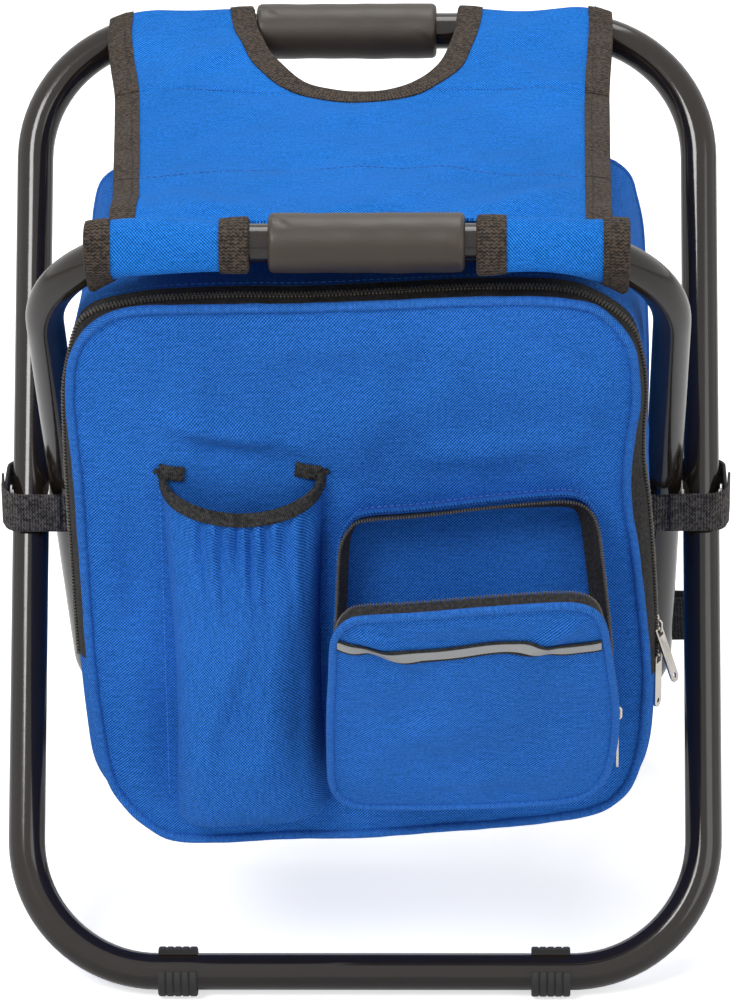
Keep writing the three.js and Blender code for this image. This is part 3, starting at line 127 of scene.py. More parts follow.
def smoothstep(low: float, high: float, value: Points) -> Points:
    """Rises smoothly from 0 at low to 1 at high."""
    share = np.clip((np.asarray(value, float) - low) / (high - low), 0.0, 1.0)
    return share * share * (3.0 - 2.0 * share)


def unit(vectors: Points) -> Points:
    """Scales rows of vectors to length 1."""
    return vectors / np.maximum(np.linalg.norm(vectors, axis=-1, keepdims=True), 1e-9)


def spline(controls: Sequence[Sequence[float]], closed: bool, per_span: int = 12) -> Points:
    """Runs a smooth Catmull-Rom curve through control points.

    Args:
        controls: Points that the curve passes.
        closed: Whether the last point joins the first.
        per_span: Samples between neighbours.

    Returns:
        Rows of points along the curve.
    """
    knots = np.array(controls, float)
    count = len(knots)
    spans = count if closed else count - 1
    rows = []
    for i in range(spans):
        if closed:
            a, b, c, d = (knots[(i + k) % count] for k in (-1, 0, 1, 2))
        else:
            a, b, c, d = (knots[min(max(i + k, 0), count - 1)] for k in (-1, 0, 1, 2))
        for t in np.linspace(0.0, 1.0, per_span, endpoint=False):
            rows.append(0.5 * (2 * b + (c - a) * t + (2 * a - 5 * b + 4 * c - d) * t * t
                               + (3 * b - a - 3 * c + d) * t ** 3))
    if not closed:
        rows.append(knots[-1])
    return np.array(rows)


def evenly(path: Points, pitch: float, closed: bool = False) -> Points:
    """Respaces a path's points.

    Args:
        path: Rows of points.
        pitch: The wanted distance between neighbours.
        closed: Whether the path returns to its first point.

    Returns:
        Rows of evenly spaced points. A closed path doesn't repeat its first point.
    """
    full = np.vstack([path, path[:1]]) if closed else path
    run = np.concatenate([[0.0], np.cumsum(np.linalg.norm(np.diff(full, axis=0), axis=1))])
    count = max(2, int(round(run[-1] / pitch)))
    marks = np.linspace(0.0, run[-1], count, endpoint=False) if closed else np.linspace(0.0, run[-1], count + 1)
    return np.stack([np.interp(marks, run, full[:, k]) for k in range(full.shape[1])], axis=1)


def tangents(path: Points, closed: bool) -> Points:
    """Gives the unit direction of a path at each of its points.

    Args:
        path: Rows of points.
        closed: Whether the path returns to its start.

    Returns:
        Rows of directions.
    """
    if closed:
        return unit(np.roll(path, -1, axis=0) - np.roll(path, 1, axis=0))
    return unit(np.gradient(path, axis=0))


def outward(path: Points) -> Points:
    """Gives outward unit normals of a closed flat outline of x and z, whichever way it turns.

    Args:
        path: The outline's points.

    Returns:
        One normal for each point.
    """
    along = tangents(path, True)
    area = np.sum(path[:, 0] * np.roll(path[:, 1], -1) - np.roll(path[:, 0], -1) * path[:, 1])
    return np.stack([along[:, 1], -along[:, 0]], axis=1) * (1.0 if area > 0 else -1.0)


def inside(points: Points, outline: Points) -> Points:
    """Tells which flat points lie inside a closed outline.

    Args:
        points: Rows of flat points.
        outline: The outline's points.

    Returns:
        Yes or no for each point.
    """
    x, y = points[:, 0][:, None], points[:, 1][:, None]
    ax, ay = outline[:, 0][None], outline[:, 1][None]
    bx, by = np.roll(ax, -1, axis=1), np.roll(ay, -1, axis=1)
    slope = (bx - ax) * (y - ay) / np.where(np.abs(by - ay) < 1e-9, 1e-9, by - ay) + ax
    return (np.sum(((ay > y) != (by > y)) & (x < slope), axis=1) % 2).astype(bool)


def edge_distance(points: Points, outline: Points) -> Points:
    """Gives each flat point's distance to the nearest vertex of a dense outline.

    Args:
        points: Rows of flat points.
        outline: The outline's points.

    Returns:
        One distance for each point.
    """
    steps = [np.sqrt(((points[i:i + 2000, None] - outline[None]) ** 2).sum(-1)).min(1)
             for i in range(0, len(points), 2000)]
    return np.concatenate(steps)


def ripple(points: Points, wavelength: float, height: float, seed: int) -> Points:
    """Gives a gentle unevenness of cloth.

    Args:
        points: Rows of flat points in millimetres.
        wavelength: The mean length of a wave.
        height: The largest rise.
        seed: Fixes the waves' directions and places.

    Returns:
        One height for each point.
    """
    waves = np.random.default_rng(seed)
    total = np.zeros(len(points))
    for _ in range(7):
        angle, phase = waves.uniform(0.0, math.tau, 2)
        length = wavelength * waves.uniform(0.6, 1.8)
        total += np.sin((points[:, 0] * math.cos(angle) + points[:, 1] * math.sin(angle)) * math.tau / length + phase)
    return total * height / 7.0


@dataclass(frozen=True)
class Fold:
    """A fold or crease in cloth, between two flat points."""

    start: tuple[float, float]
    end: tuple[float, float]
    rise: float
    width: float

    def height(self, points: Points) -> Points:
        """Gives the fold's rise at flat points.

        Args:
            points: Rows of flat points.

        Returns:
            One rise for each point.
        """
        a, b = np.array(self.start), np.array(self.end)
        along = b - a
        share = np.clip((points - a) @ along / (along @ along), 0.0, 1.0)
        gap = np.linalg.norm(points - (a + share[:, None] * along), axis=1)
        fade = np.sin(np.pi * np.clip(share, 0.06, 0.94)) ** 0.6
        return self.rise * fade * np.exp(-(gap / self.width) ** 2)


def folded(points: Points, folds: Iterable[Fold]) -> Points:
    """Adds up the rises of several folds."""
    return sum((fold.height(points) for fold in folds), np.zeros(len(points)))


class Weave(Enum):
    """Where a cloth finish takes its threads' directions from."""

    PATTERN = "pattern"
    FRONT = "front"


class Tree:
    """A small helper that adds nodes to a node tree and links them."""

    def __init__(self, tree: bpy.types.NodeTree) -> None:
        """Empties the tree."""
        self.tree = tree
        tree.nodes.clear()

    def add(self, kind: str, inputs: dict[str | int, object] | None = None, **settings: object) -> bpy.types.Node:
        """Adds a node.

        Args:
            kind: The node's type.
            inputs: What its input sockets are set or linked to.
            settings: Its properties.

        Returns:
            The node.
        """
        node = self.tree.nodes.new(kind)
        for key, value in settings.items():
            setattr(node, key, value)
        for key, value in (inputs or {}).items():
            self.feed(node.inputs[key], value)
        return node

    def feed(self, socket: Socket, value: object) -> None:
        """Links or sets an input socket.

        Args:
            socket: The input.
            value: A constant, or the output that is linked to it.
        """
        if isinstance(value, Socket):
            self.tree.links.new(value, socket)
        else:
            socket.default_value = value


class Nodes(Tree):
    """The shader nodes of one material."""

    def __init__(self, name: str) -> None:
        """Starts an empty material with its shader and output.

        Args:
            name: The material's name.
        """
        self.material = bpy.data.materials.new(name)
        self.material.use_nodes = True
        super().__init__(self.material.node_tree)
        self.shader = self.add("ShaderNodeBsdfPrincipled")
        self.add("ShaderNodeOutputMaterial", {0: self.shader.outputs[0]})

    def math(self, operation: str, *values: object) -> Socket:
        """Adds a Math node on the given values."""
        return self.add("ShaderNodeMath", dict(enumerate(values)), operation=operation).outputs[0]

    def objects(self) -> Socket:
        """Gives object coordinates in metres."""
        return self.add("ShaderNodeTexCoord").outputs["Object"]

    def coordinates(self, weave: Weave) -> Socket:
        """Gives surface coordinates in metres.

        Args:
            weave: Whether the threads follow the pattern or the front.

        Returns:
            The coordinates' output.
        """
        if weave is Weave.PATTERN:
            return self.add("ShaderNodeTexCoord").outputs["UV"]
        turn = (math.radians(-90), 0.0, 0.0)
        return self.add("ShaderNodeMapping", {"Vector": self.objects(), "Rotation": turn}).outputs[0]

    def noise(self, vector: Socket, scale: float, detail: float = 4.0, roughness: float = 0.55) -> Socket:
        """Adds a noise texture in waves per metre."""
        return self.add("ShaderNodeTexNoise", {"Vector": vector, "Scale": scale, "Detail": detail,
                                               "Roughness": roughness}).outputs["Fac"]

    def stretched(self, vector: Socket, scale: Sequence[float]) -> Socket:
        """Scales coordinates along their axes."""
        return self.add("ShaderNodeMapping", {"Vector": vector, "Scale": scale}).outputs[0]

    def mix(self, share: object, low: Color, high: Color) -> Socket:
        """Mixes two colours by a share."""
        inputs = {"Factor": share, 6: (*low, 1.0), 7: (*high, 1.0)}
        return self.add("ShaderNodeMix", inputs, data_type="RGBA").outputs[2]

    def bump(self, height: Socket, distance: float, strength: float) -> None:
        """Adds a bump on top of those that the shader already has.

        Args:
            height: The relief.
            distance: Its depth in metres.
            strength: Its strength from 0 to 1.
        """
        inputs = {"Distance": distance, "Strength": strength, "Height": height}
        normal = self.shader.inputs["Normal"]
        if normal.is_linked:
            inputs["Normal"] = normal.links[0].from_socket
        self.feed(normal, self.add("ShaderNodeBump", inputs).outputs[0])

    def base(self, color: object, roughness: object, **more: object) -> None:
        """Sets the shader's colour and roughness, and other inputs whose names have _ for a space."""
        for key, value in {"Base_Color": color, "Roughness": roughness, **more}.items():
            self.feed(self.shader.inputs[key.replace("_", " ")], value)


def shade(color: Color, factor: float, more: float = 0.0) -> Color:
    """Gives a lighter or darker colour."""
    return tuple(min(1.0, c * factor + more) for c in color)


@dataclass(frozen=True)
class Finish:
    """The look of one material."""

    name: str
    color: Color

    def material(self) -> bpy.types.Material:
        """Builds the material."""
        nodes = Nodes(self.name)
        self.wire(nodes)
        return nodes.material

    def wire(self, nodes: Nodes) -> None:
        """Adds the finish's own nodes."""
        raise NotImplementedError


@dataclass(frozen=True)
class Cloth(Finish):
    """Woven polyester with threads over and under each other."""

    thread: float = 0.0015
    weave: Weave = Weave.PATTERN
    relief: float = 0.00022
    sheen: float = 0.02
    # spread pushes the thread colours apart, into painted shade in the hollows and painted highlight on the crests; the
    # field below adds white to the lighter threads as a painted glint.
    spread: float = 0.4
    painted_glint: float = 0.04

    def wire(self, nodes: Nodes) -> None:
        """Adds twill threads, painted darker in their hollows and lighter on their crests (painted shade and
        highlight), uneven yarn and slow random clouds of tone.

        Args:
            nodes: The material's nodes.
        """
        place = nodes.coordinates(self.weave)
        axes = nodes.add("ShaderNodeSeparateXYZ", {0: place})
        x, y = (nodes.math("MULTIPLY", axes.outputs[k], math.tau / self.thread) for k in (0, 1))
        rib = nodes.math("SINE", nodes.math("SUBTRACT", y, x))
        cross = nodes.math("MULTIPLY", nodes.math("SINE", nodes.math("ADD", y, x)), 0.6)
        height = nodes.math("ADD", nodes.math("MULTIPLY", nodes.math("ADD", rib, cross), 0.32), 0.5)
        cloud = nodes.noise(nodes.objects(), 9.0, 3.0)
        slub = nodes.noise(nodes.stretched(place, (90.0, 900.0, 1.0)), 1.0, 2.0)
        grain = nodes.noise(nodes.stretched(place, (620.0, 620.0, 1.0)), 1.0, 2.0, 0.75)
        yarn = nodes.math("ADD", slub, nodes.math("MULTIPLY", grain, 2.0))
        woven = nodes.math("ADD", nodes.math("MULTIPLY", height, 0.5), nodes.math("MULTIPLY", cloud, 0.18))
        mixed = nodes.math("ADD", woven, nodes.math("MULTIPLY", yarn, 0.2))
        share = nodes.math("MULTIPLY_ADD", mixed, 2.7, -1.33)
        # The two thread colours are painted light: the darker one is painted shade in the hollows between threads, the
        # lighter one a painted highlight on their crests, with white added as a painted glint.
        deep, light = shade(self.color, 1.0 - 1.6 * self.spread), shade(self.color, 1.0 + self.spread, self.painted_glint)
        nodes.base(nodes.mix(share, deep, light), 0.8, Sheen_Weight=self.sheen, Sheen_Roughness=0.45,
                   Specular_IOR_Level=0.05)
        nodes.bump(nodes.noise(nodes.objects(), 48.0, 4.0), 0.0011, 0.4)
        nodes.bump(height, self.relief, 0.9)


@dataclass(frozen=True)
class Webbing(Finish):
    """Ribbed narrow tape: bindings, bands and straps."""

    rib: float = 0.0013
    relief: float = 0.0003
    roughness: float = 0.82

    def wire(self, nodes: Nodes) -> None:
        """Adds zigzag ribs, painted darker in their hollows and lighter on their crests (painted shade and highlight),
        under a fuzz of fine fibres.

        Args:
            nodes: The material's nodes.
        """
        axes = nodes.add("ShaderNodeSeparateXYZ", {0: nodes.coordinates(Weave.PATTERN)})
        along = nodes.math("MULTIPLY", axes.outputs[1], math.tau / self.rib)
        across = nodes.math("MULTIPLY", axes.outputs[0], math.tau / (1.5 * self.rib))
        zigzag = nodes.math("ADD", along, nodes.math("MULTIPLY", nodes.math("SINE", across), 1.2))
        height = nodes.math("ADD", nodes.math("MULTIPLY", nodes.math("SINE", zigzag), 0.5), 0.5)
        fuzz = nodes.noise(nodes.objects(), 620.0, 2.0)
        share = nodes.math("ADD", nodes.math("MULTIPLY", height, 0.8), nodes.math("MULTIPLY_ADD", fuzz, 3.2, -1.55))
        # The tape's colour follows its rib relief: painted shade in the hollows and painted highlight on the crests,
        # with the fuzz adding random tone.
        nodes.base(nodes.mix(share, shade(self.color, 0.12), shade(self.color, 2.8)), self.roughness,
                   Specular_IOR_Level=0.35)
        nodes.bump(fuzz, 0.0002, 0.4)
        nodes.bump(height, self.relief, 0.8)


@dataclass(frozen=True)
class GlossPaint(Finish):
    """Black stoved paint on steel tube, with faint runs and handling marks."""

    roughness: float = 0.2

    def wire(self, nodes: Nodes) -> None:
        """Adds runs along the tube and fine specks under a clear coat.

        Args:
            nodes: The material's nodes.
        """
        place = nodes.objects()
        runs = nodes.noise(nodes.stretched(place, (90.0, 90.0, 14.0)), 1.0, 3.0)
        specks = nodes.noise(place, 420.0, 2.0, 0.7)
        rough = nodes.math("ADD", nodes.math("MULTIPLY", runs, 0.16), self.roughness - 0.06)
        nodes.base(nodes.mix(specks, self.color, shade(self.color, 1.5)), rough, Specular_IOR_Level=0.36,
                   Coat_Weight=0.3, Coat_Roughness=0.06)
        nodes.bump(runs, 0.0004, 0.25)


@dataclass(frozen=True)
class Moulded(Finish):
    """Rubber, foam skin, nylon and other moulded matter."""

    roughness: float
    grain: float = 700.0
    relief: float = 0.00015
    mottle: float = 0.25

    def wire(self, nodes: Nodes) -> None:
        """Adds a broad mottle and a fine grain.

        Args:
            nodes: The material's nodes.
        """
        place = nodes.objects()
        fine, broad = nodes.noise(place, self.grain, 3.0), nodes.noise(place, 38.0, 4.0)
        rough = nodes.math("ADD", nodes.math("MULTIPLY", broad, 0.18), self.roughness - 0.09)
        nodes.base(nodes.mix(broad, shade(self.color, 1.0 - self.mottle), shade(self.color, 1.0 + self.mottle)), rough)
        nodes.bump(fine, self.relief, 0.5)


@dataclass(frozen=True)
class Metal(Finish):
    """Plated or polished metal with fine scratches."""

    roughness: float

    def wire(self, nodes: Nodes) -> None:
        """Adds scratches along the height and duller patches.

        Args:
            nodes: The material's nodes.
        """
        place = nodes.objects()
        scratches = nodes.noise(nodes.stretched(place, (2600.0, 2600.0, 240.0)), 1.0, 2.0)
        dull = nodes.noise(place, 160.0, 3.0)
        rough = nodes.math("ADD", nodes.math("MULTIPLY", dull, 0.2), self.roughness - 0.08)
        nodes.base(nodes.mix(dull, shade(self.color, 0.72), self.color), rough, Metallic=1.0)
        nodes.bump(scratches, 0.00004, 0.4)


@dataclass(frozen=True)
class Foil(Finish):
    """Crinkled silver film over the insulating foam."""

    def wire(self, nodes: Nodes) -> None:
        """Adds sharp creases between flat cells.

        Args:
            nodes: The material's nodes.
        """
        place = nodes.objects()
        cells = nodes.add("ShaderNodeTexVoronoi", {"Vector": place, "Scale": 60.0}, feature="DISTANCE_TO_EDGE")
        crinkle = nodes.math("MINIMUM", cells.outputs["Distance"], 0.25)
        nodes.base(nodes.mix(nodes.noise(place, 30.0), shade(self.color, 0.8), self.color), 0.28, Metallic=0.85)
        nodes.bump(crinkle, 0.002, 0.5)


@dataclass(frozen=True)
class Floor(Finish):
    """White studio floor that keeps the object's shadow."""

    glow: float = 0.62

    def wire(self, nodes: Nodes) -> None:
        """Adds faint clouds, and a glow that only the camera sees.

        Args:
            nodes: The material's nodes.
        """
        cloud = nodes.noise(nodes.objects(), 1.2, 2.0)
        seen = nodes.add("ShaderNodeLightPath").outputs["Is Camera Ray"]
        nodes.base(nodes.mix(cloud, self.color, (0.93, 0.93, 0.93)), 0.9, Specular_IOR_Level=0.0,
                   Emission_Color=WHITE, Emission_Strength=nodes.math("MULTIPLY", seen, self.glow))


BLUE = (0.006, 0.15, 0.6)
FINISHES = {look.name: look for look in (
    GlossPaint("tube_paint", (0.012, 0.0083, 0.006), 0.13),
    Cloth("bag_twill", BLUE),
    Cloth("bag_twill_front", BLUE, weave=Weave.FRONT),
    Cloth("seat_twill", (0.002, 0.186, 0.71), painted_glint=0.03),
    # A darker copy of the bag's blue: painted shade for the inner walls of the zip pocket.
    Cloth("pocket_twill_shaded", (0.003, 0.08, 0.42)),
    Cloth("pad_cloth", (0.013, 0.013, 0.015), weave=Weave.FRONT, sheen=0.15, painted_glint=0.012),
    Cloth("welt_twill", (0.012, 0.15, 0.58), 0.0012, relief=0.00012),
    Webbing("binding_tape", (0.03, 0.0212, 0.0153), rib=0.0015),
    Webbing("band_tape", (0.042, 0.037, 0.036), rib=0.0014),
    Webbing("strap_web", (0.014, 0.014, 0.016), rib=0.0016),
    Webbing("zip_tape", (0.012, 0.011, 0.011), rib=0.0007, relief=0.00012),
    Webbing("elastic_tape", (0.022, 0.021, 0.02), rib=0.0009),
    Webbing("stripe_edge", (0.012, 0.012, 0.012), rib=0.0008, relief=0.00012),
    Moulded("zip_teeth", (0.085, 0.073, 0.058), 0.3),
    Moulded("grip_foam", (0.038, 0.028, 0.019), 0.44, 900.0, 0.0002, 0.2),
    Moulded("foot_rubber", (0.02, 0.019, 0.018), 0.62),
    Moulded("nylon", (0.7, 0.68, 0.62), 0.5),
    Moulded("black_plastic", (0.015, 0.015, 0.016), 0.42),
    Moulded("reflective_tape", (0.3, 0.3, 0.3), 0.36, 2400.0, 0.00006, 0.08),
    Moulded("blue_thread", (0.03, 0.22, 0.72), 0.6, 2600.0, 0.00005),
    Moulded("dark_thread", (0.012, 0.012, 0.016), 0.7, 2600.0, 0.00005),
    Moulded("seam_thread", (0.012, 0.09, 0.36), 0.6, 2600.0, 0.00005),
    Moulded("white_foam", (0.82, 0.82, 0.8), 0.8, 1400.0, 0.0002, 0.05),
    Metal("nickel", (0.74, 0.70, 0.63), 0.2),
    Metal("zinc", (0.5, 0.5, 0.49), 0.36),
    Foil("foil", (0.75, 0.77, 0.79)),
)}


@cache
def finish(name: str) -> bpy.types.Material:
    """Gives a finish's material and builds it once."""
    return FINISHES[name].material()


def placed(name: str, data: bpy.types.ID) -> Piece:
    """Puts a mesh, lamp or camera into the scene as an object at the origin."""
    thing = bpy.data.objects.new(name, data)
    bpy.context.scene.collection.objects.link(thing)
    return thing


def plain_mesh(source: Piece) -> bpy.types.Mesh:
    """Gives an object's mesh with its modifiers done, and takes the object away.

    Args:
        source: The object with its modifiers.

    Returns:
        The new mesh.
    """
    bpy.context.view_layer.update()
    mesh = bpy.data.meshes.new_from_object(source.evaluated_get(bpy.context.evaluated_depsgraph_get()))
    source.modifiers.clear()
    bpy.data.objects.remove(source)
    return mesh


def mesh_piece(name: str, points: Points, faces: Sequence[Sequence[int]], look: str,
               uvs: Sequence[Sequence[tuple[float, float]]], crease: float | None) -> Piece:
    """Makes an object from points in millimetres.

    Args:
        name: The piece's name.
        points: Rows of x, y, z.
        faces: Corner numbers of each face.
        look: The finish's name.
        uvs: For each face, its corners' pattern coordinates in millimetres.
        crease: The angle in degrees over which an edge stays sharp.

    Returns:
        The linked object, at the origin.
    """
    mesh = bpy.data.meshes.new(name)
    mesh.from_pydata([tuple(p) for p in in_frame(points)], [], [tuple(int(i) for i in f) for f in faces])
    layer = mesh.uv_layers.new(name="pattern")
    layer.data.foreach_set("uv", [value * MM for corners in uvs for corner in corners for value in corner])
    mesh.materials.append(finish(look))
    mesh.polygons.foreach_set("use_smooth", [True] * len(mesh.polygons))
    mesh.validate()
    piece = placed(name, mesh)
    if crease is not None:
        mesh.set_sharp_from_angle(angle=math.radians(crease))
    turn_outward(piece)
    return piece


def turn_outward(piece: Piece) -> None:
    """Turns a closed mesh's faces outwards.

    Args:
        piece: The piece, whose mesh is changed.
    """
    mesh = piece.data
    mesh.calc_loop_triangles()
    points = np.array([v.co for v in mesh.vertices])
    corners = np.array([t.vertices for t in mesh.loop_triangles])
    a, b, c = (points[corners[:, k]] for k in range(3))
    if np.einsum("ij,ij->i", a, np.cross(b, c)).sum() < 0:
        mesh.flip_normals()


def ring_piece(name: str, rings: Sequence[Points], look: str, wraps: bool = False,
               crease: float | None = None) -> Piece:
    """Skins a row of closed rings.

    Args:
        name: The piece's name.
        rings: Rings of equal point counts, in millimetres.
        look: The finish's name.
        wraps: Whether the last ring joins the first; otherwise both ends get a cap.
        crease: The angle in degrees over which an edge stays sharp.

    Returns:
        The closed piece.
    """
    grid = np.array(rings)
    count, sides = grid.shape[:2]
    around = np.linalg.norm(np.diff(np.concatenate([grid, grid[:, :1]], axis=1), axis=1), axis=2)
    u = np.concatenate([[0.0], np.cumsum(around.mean(0))])
    along = np.linalg.norm(np.diff(np.concatenate([grid, grid[:1]]), axis=0), axis=2).mean(1)
    v = np.concatenate([[0.0], np.cumsum(along)])
    faces, uvs = [], []
    for i in range(count if wraps else count - 1):
        n = (i + 1) % count
        for j in range(sides):
            k = (j + 1) % sides
            faces.append((i * sides + j, i * sides + k, n * sides + k, n * sides + j))
            uvs.append(((u[j], v[i]), (u[j + 1], v[i]), (u[j + 1], v[i + 1]), (u[j], v[i + 1])))
    if not wraps:
        first, last = list(range(sides)), list(range((count - 1) * sides, count * sides))
        for cap, height in ((first[::-1], v[0]), (last, v[count - 1])):
            faces.append(cap)
            uvs.append([(u[i % sides], height) for i in cap])
    return mesh_piece(name, grid.reshape(-1, 3), faces, look, uvs, crease)


def swept(name: str, path: Points, section: Points, side: Points, look: str, closed: bool = False,
          scales: Points | None = None) -> Piece:
    """Sweeps a closed section along a path.

    Args:
        name: The piece's name.
        path: Rows of points that the section's origin follows.
        section: Rows of side and lift.
        side: The direction of the section's first axis, one row or one for each point.
        look: The finish's name.
        closed: Whether the path returns to its start.
        scales: A size of the section at each point.

    Returns:
        The closed piece.
    """
    along = tangents(path, closed)
    across = np.broadcast_to(np.asarray(side, float), path.shape)
    across = unit(across - along * np.sum(across * along, axis=1, keepdims=True))
    up = np.cross(along, across)
    sizes = np.ones(len(path)) if scales is None else scales
    rings = [p + s * (section[:, :1] * a + section[:, 1:] * b)
             for p, a, b, s in zip(path, across, up, sizes)]
    return ring_piece(name, rings, look, closed)


def circle(radius: float, sides: int) -> Points:
    """Gives a round section."""
    turn = np.linspace(0.0, math.tau, sides, endpoint=False)
    return np.stack([radius * np.cos(turn), radius * np.sin(turn)], axis=1)


def tape(width: float, thickness: float) -> Points:
    """Gives the section of a flat tape with soft edges."""
    w, t = width / 2, thickness / 2
    return np.array([(-w, 0), (-w + t / 2, -t), (-w / 2, -t), (0, -t), (w / 2, -t), (w - t / 2, -t), (w, 0),
                     (w - t / 2, t), (w / 2, t), (0, t), (-w / 2, t), (-w + t / 2, t)])


def rounded_box(left: float, right: float, bottom: float, top: float, radius: float, steps: int = 8) -> Points:
    """Gives a rounded rectangle's outline, turning one way.

    Args:
        left, right, bottom, top: Its sides.
        radius: Its corners' radius.
        steps: Points on each corner.

    Returns:
        The outline's points.
    """
    corners = ((right - radius, top - radius, 0.0), (left + radius, top - radius, 0.5 * math.pi),
               (left + radius, bottom + radius, math.pi), (right - radius, bottom + radius, 1.5 * math.pi))
    rows = [(x + radius * math.cos(start + a), z + radius * math.sin(start + a))
            for x, z, start in corners for a in np.linspace(0.0, 0.5 * math.pi, steps)]
    return np.array(rows)


def normals_of(surface: Surface, flat: Points) -> Points:
    """Gives a mapped surface's unit normals at flat points.

    Args:
        surface: Lays flat points out in space.
        flat: Rows of flat points.

    Returns:
        Rows of unit normals.
    """
    step = 0.4
    du = surface(flat + [step, 0]) - surface(flat - [step, 0])
    dv = surface(flat + [0, step]) - surface(flat - [0, step])
    return unit(np.cross(du, dv))


def on_cloth(points: Points, loops: Sequence[Points]) -> Points:
    """Tells which flat points lie inside the first loop and outside the other ones."""
    return inside(points, loops[0]) & ~np.any([inside(points, loop) for loop in loops[1:]], axis=0)


def pattern_piece(name: str, outline: Points, surface: Surface, thickness: float, look: str, spacing: float = 3.0,
                  holes: Sequence[Points] = ()) -> Piece:
    """Cuts a flat pattern, fills it with even triangles and lays it on a surface as cloth of a thickness.

    Args:
        name: The piece's name.
        outline: The pattern's closed outline in millimetres.
        surface: Lays flat points out in space.
        thickness: The cloth's thickness.
        look: The finish's name.
        spacing: The size of the triangles.
        holes: Closed outlines that are cut out.

    Returns:
        The closed piece.
    """
    loops = [evenly(loop, spacing, True) for loop in (outline, *holes)]
    edges, start = [], 0
    for loop in loops:
        edges += [(start + i, start + (i + 1) % len(loop)) for i in range(len(loop))]
        start += len(loop)
    low, high = loops[0].min(0), loops[0].max(0)
    columns = np.arange(low[0], high[0], spacing)
    rows = np.arange(low[1], high[1], spacing * math.sqrt(3) / 2)
    grid = np.array([(x + (spacing / 2 if i % 2 else 0.0), y) for i, y in enumerate(rows) for x in columns])
    grid = grid[on_cloth(grid, loops)]
    rim = np.vstack(loops)
    grid = grid[edge_distance(grid, rim) > 0.6 * spacing]
    flat = np.vstack([rim, grid])
    result = delaunay_2d_cdt([Vector(p) for p in flat], edges, [], 0, 1e-5)
    flat = np.array([tuple(p) for p in result[0]])
    triangles = np.array([tuple(t) for t in result[2] if len(t) == 3])
    triangles = triangles[on_cloth(flat[triangles].mean(1), loops)]
    a, b, c = (flat[triangles[:, k]] for k in range(3))
    turned = (b[:, 0] - a[:, 0]) * (c[:, 1] - a[:, 1]) - (b[:, 1] - a[:, 1]) * (c[:, 0] - a[:, 0]) < 0
    triangles[turned] = triangles[turned][:, ::-1]
    middle = surface(flat)
    lift = normals_of(surface, flat) * thickness / 2
    count = len(flat)
    sides = dict.fromkeys((int(t[k]), int(t[(k + 1) % 3])) for t in triangles for k in range(3))
    rim_edges = [(i, j) for i, j in sides if (j, i) not in sides]
    faces = [tuple(t) for t in triangles] + [tuple(t[::-1] + count) for t in triangles]
    faces += [(j, i, i + count, j + count) for i, j in rim_edges]
    pattern = np.vstack([flat, flat])
    uvs = [[tuple(pattern[i]) for i in face] for face in faces]
    return mesh_piece(name, np.vstack([middle + lift, middle - lift]), faces, look, uvs, 60.0)


def binding(name: str, edge: Points, inward: Points, width: float, surface: Surface, cloth: float, look: str,
            closed: bool) -> Piece:
    """Folds a tape over a cloth's edge.

    Args:
        name: The piece's name.
        edge: Flat points along the edge.
        inward: Flat unit directions into the cloth.
        width: How far the tape reaches over the cloth.
        surface: Lays flat points out in space.
        cloth: The cloth's thickness.
        look: The finish's name.
        closed: Whether the edge returns to its start.

    Returns:
        The closed piece.
    """
    skin = 1.0
    top = cloth / 2 + 0.15
    outer = [(width, top + skin * 0.7), (width * 0.6, top + skin), (1.0, top + skin), (-0.5, top + skin * 0.8),
             (-1.3, 0.0), (-0.5, -top - skin * 0.8), (1.0, -top - skin), (width * 0.6, -top - skin),
             (width, -top - skin * 0.7)]
    inner = [(width, -top), (0.2, -top), (0.2, top), (width, top)]
    rings = []
    base = surface(edge)
    lift = normals_of(surface, edge)
    outwards = unit(base - surface(edge + inward))
    for into, rise in outer + inner:
        if into > 0:
            spot = edge + inward * into
            rings.append(surface(spot) + normals_of(surface, spot) * rise)
        else:
            rings.append(base - outwards * into + lift * rise)
    return ring_piece(name, np.transpose(np.array(rings), (1, 0, 2)), look, closed, CUT_EDGE)


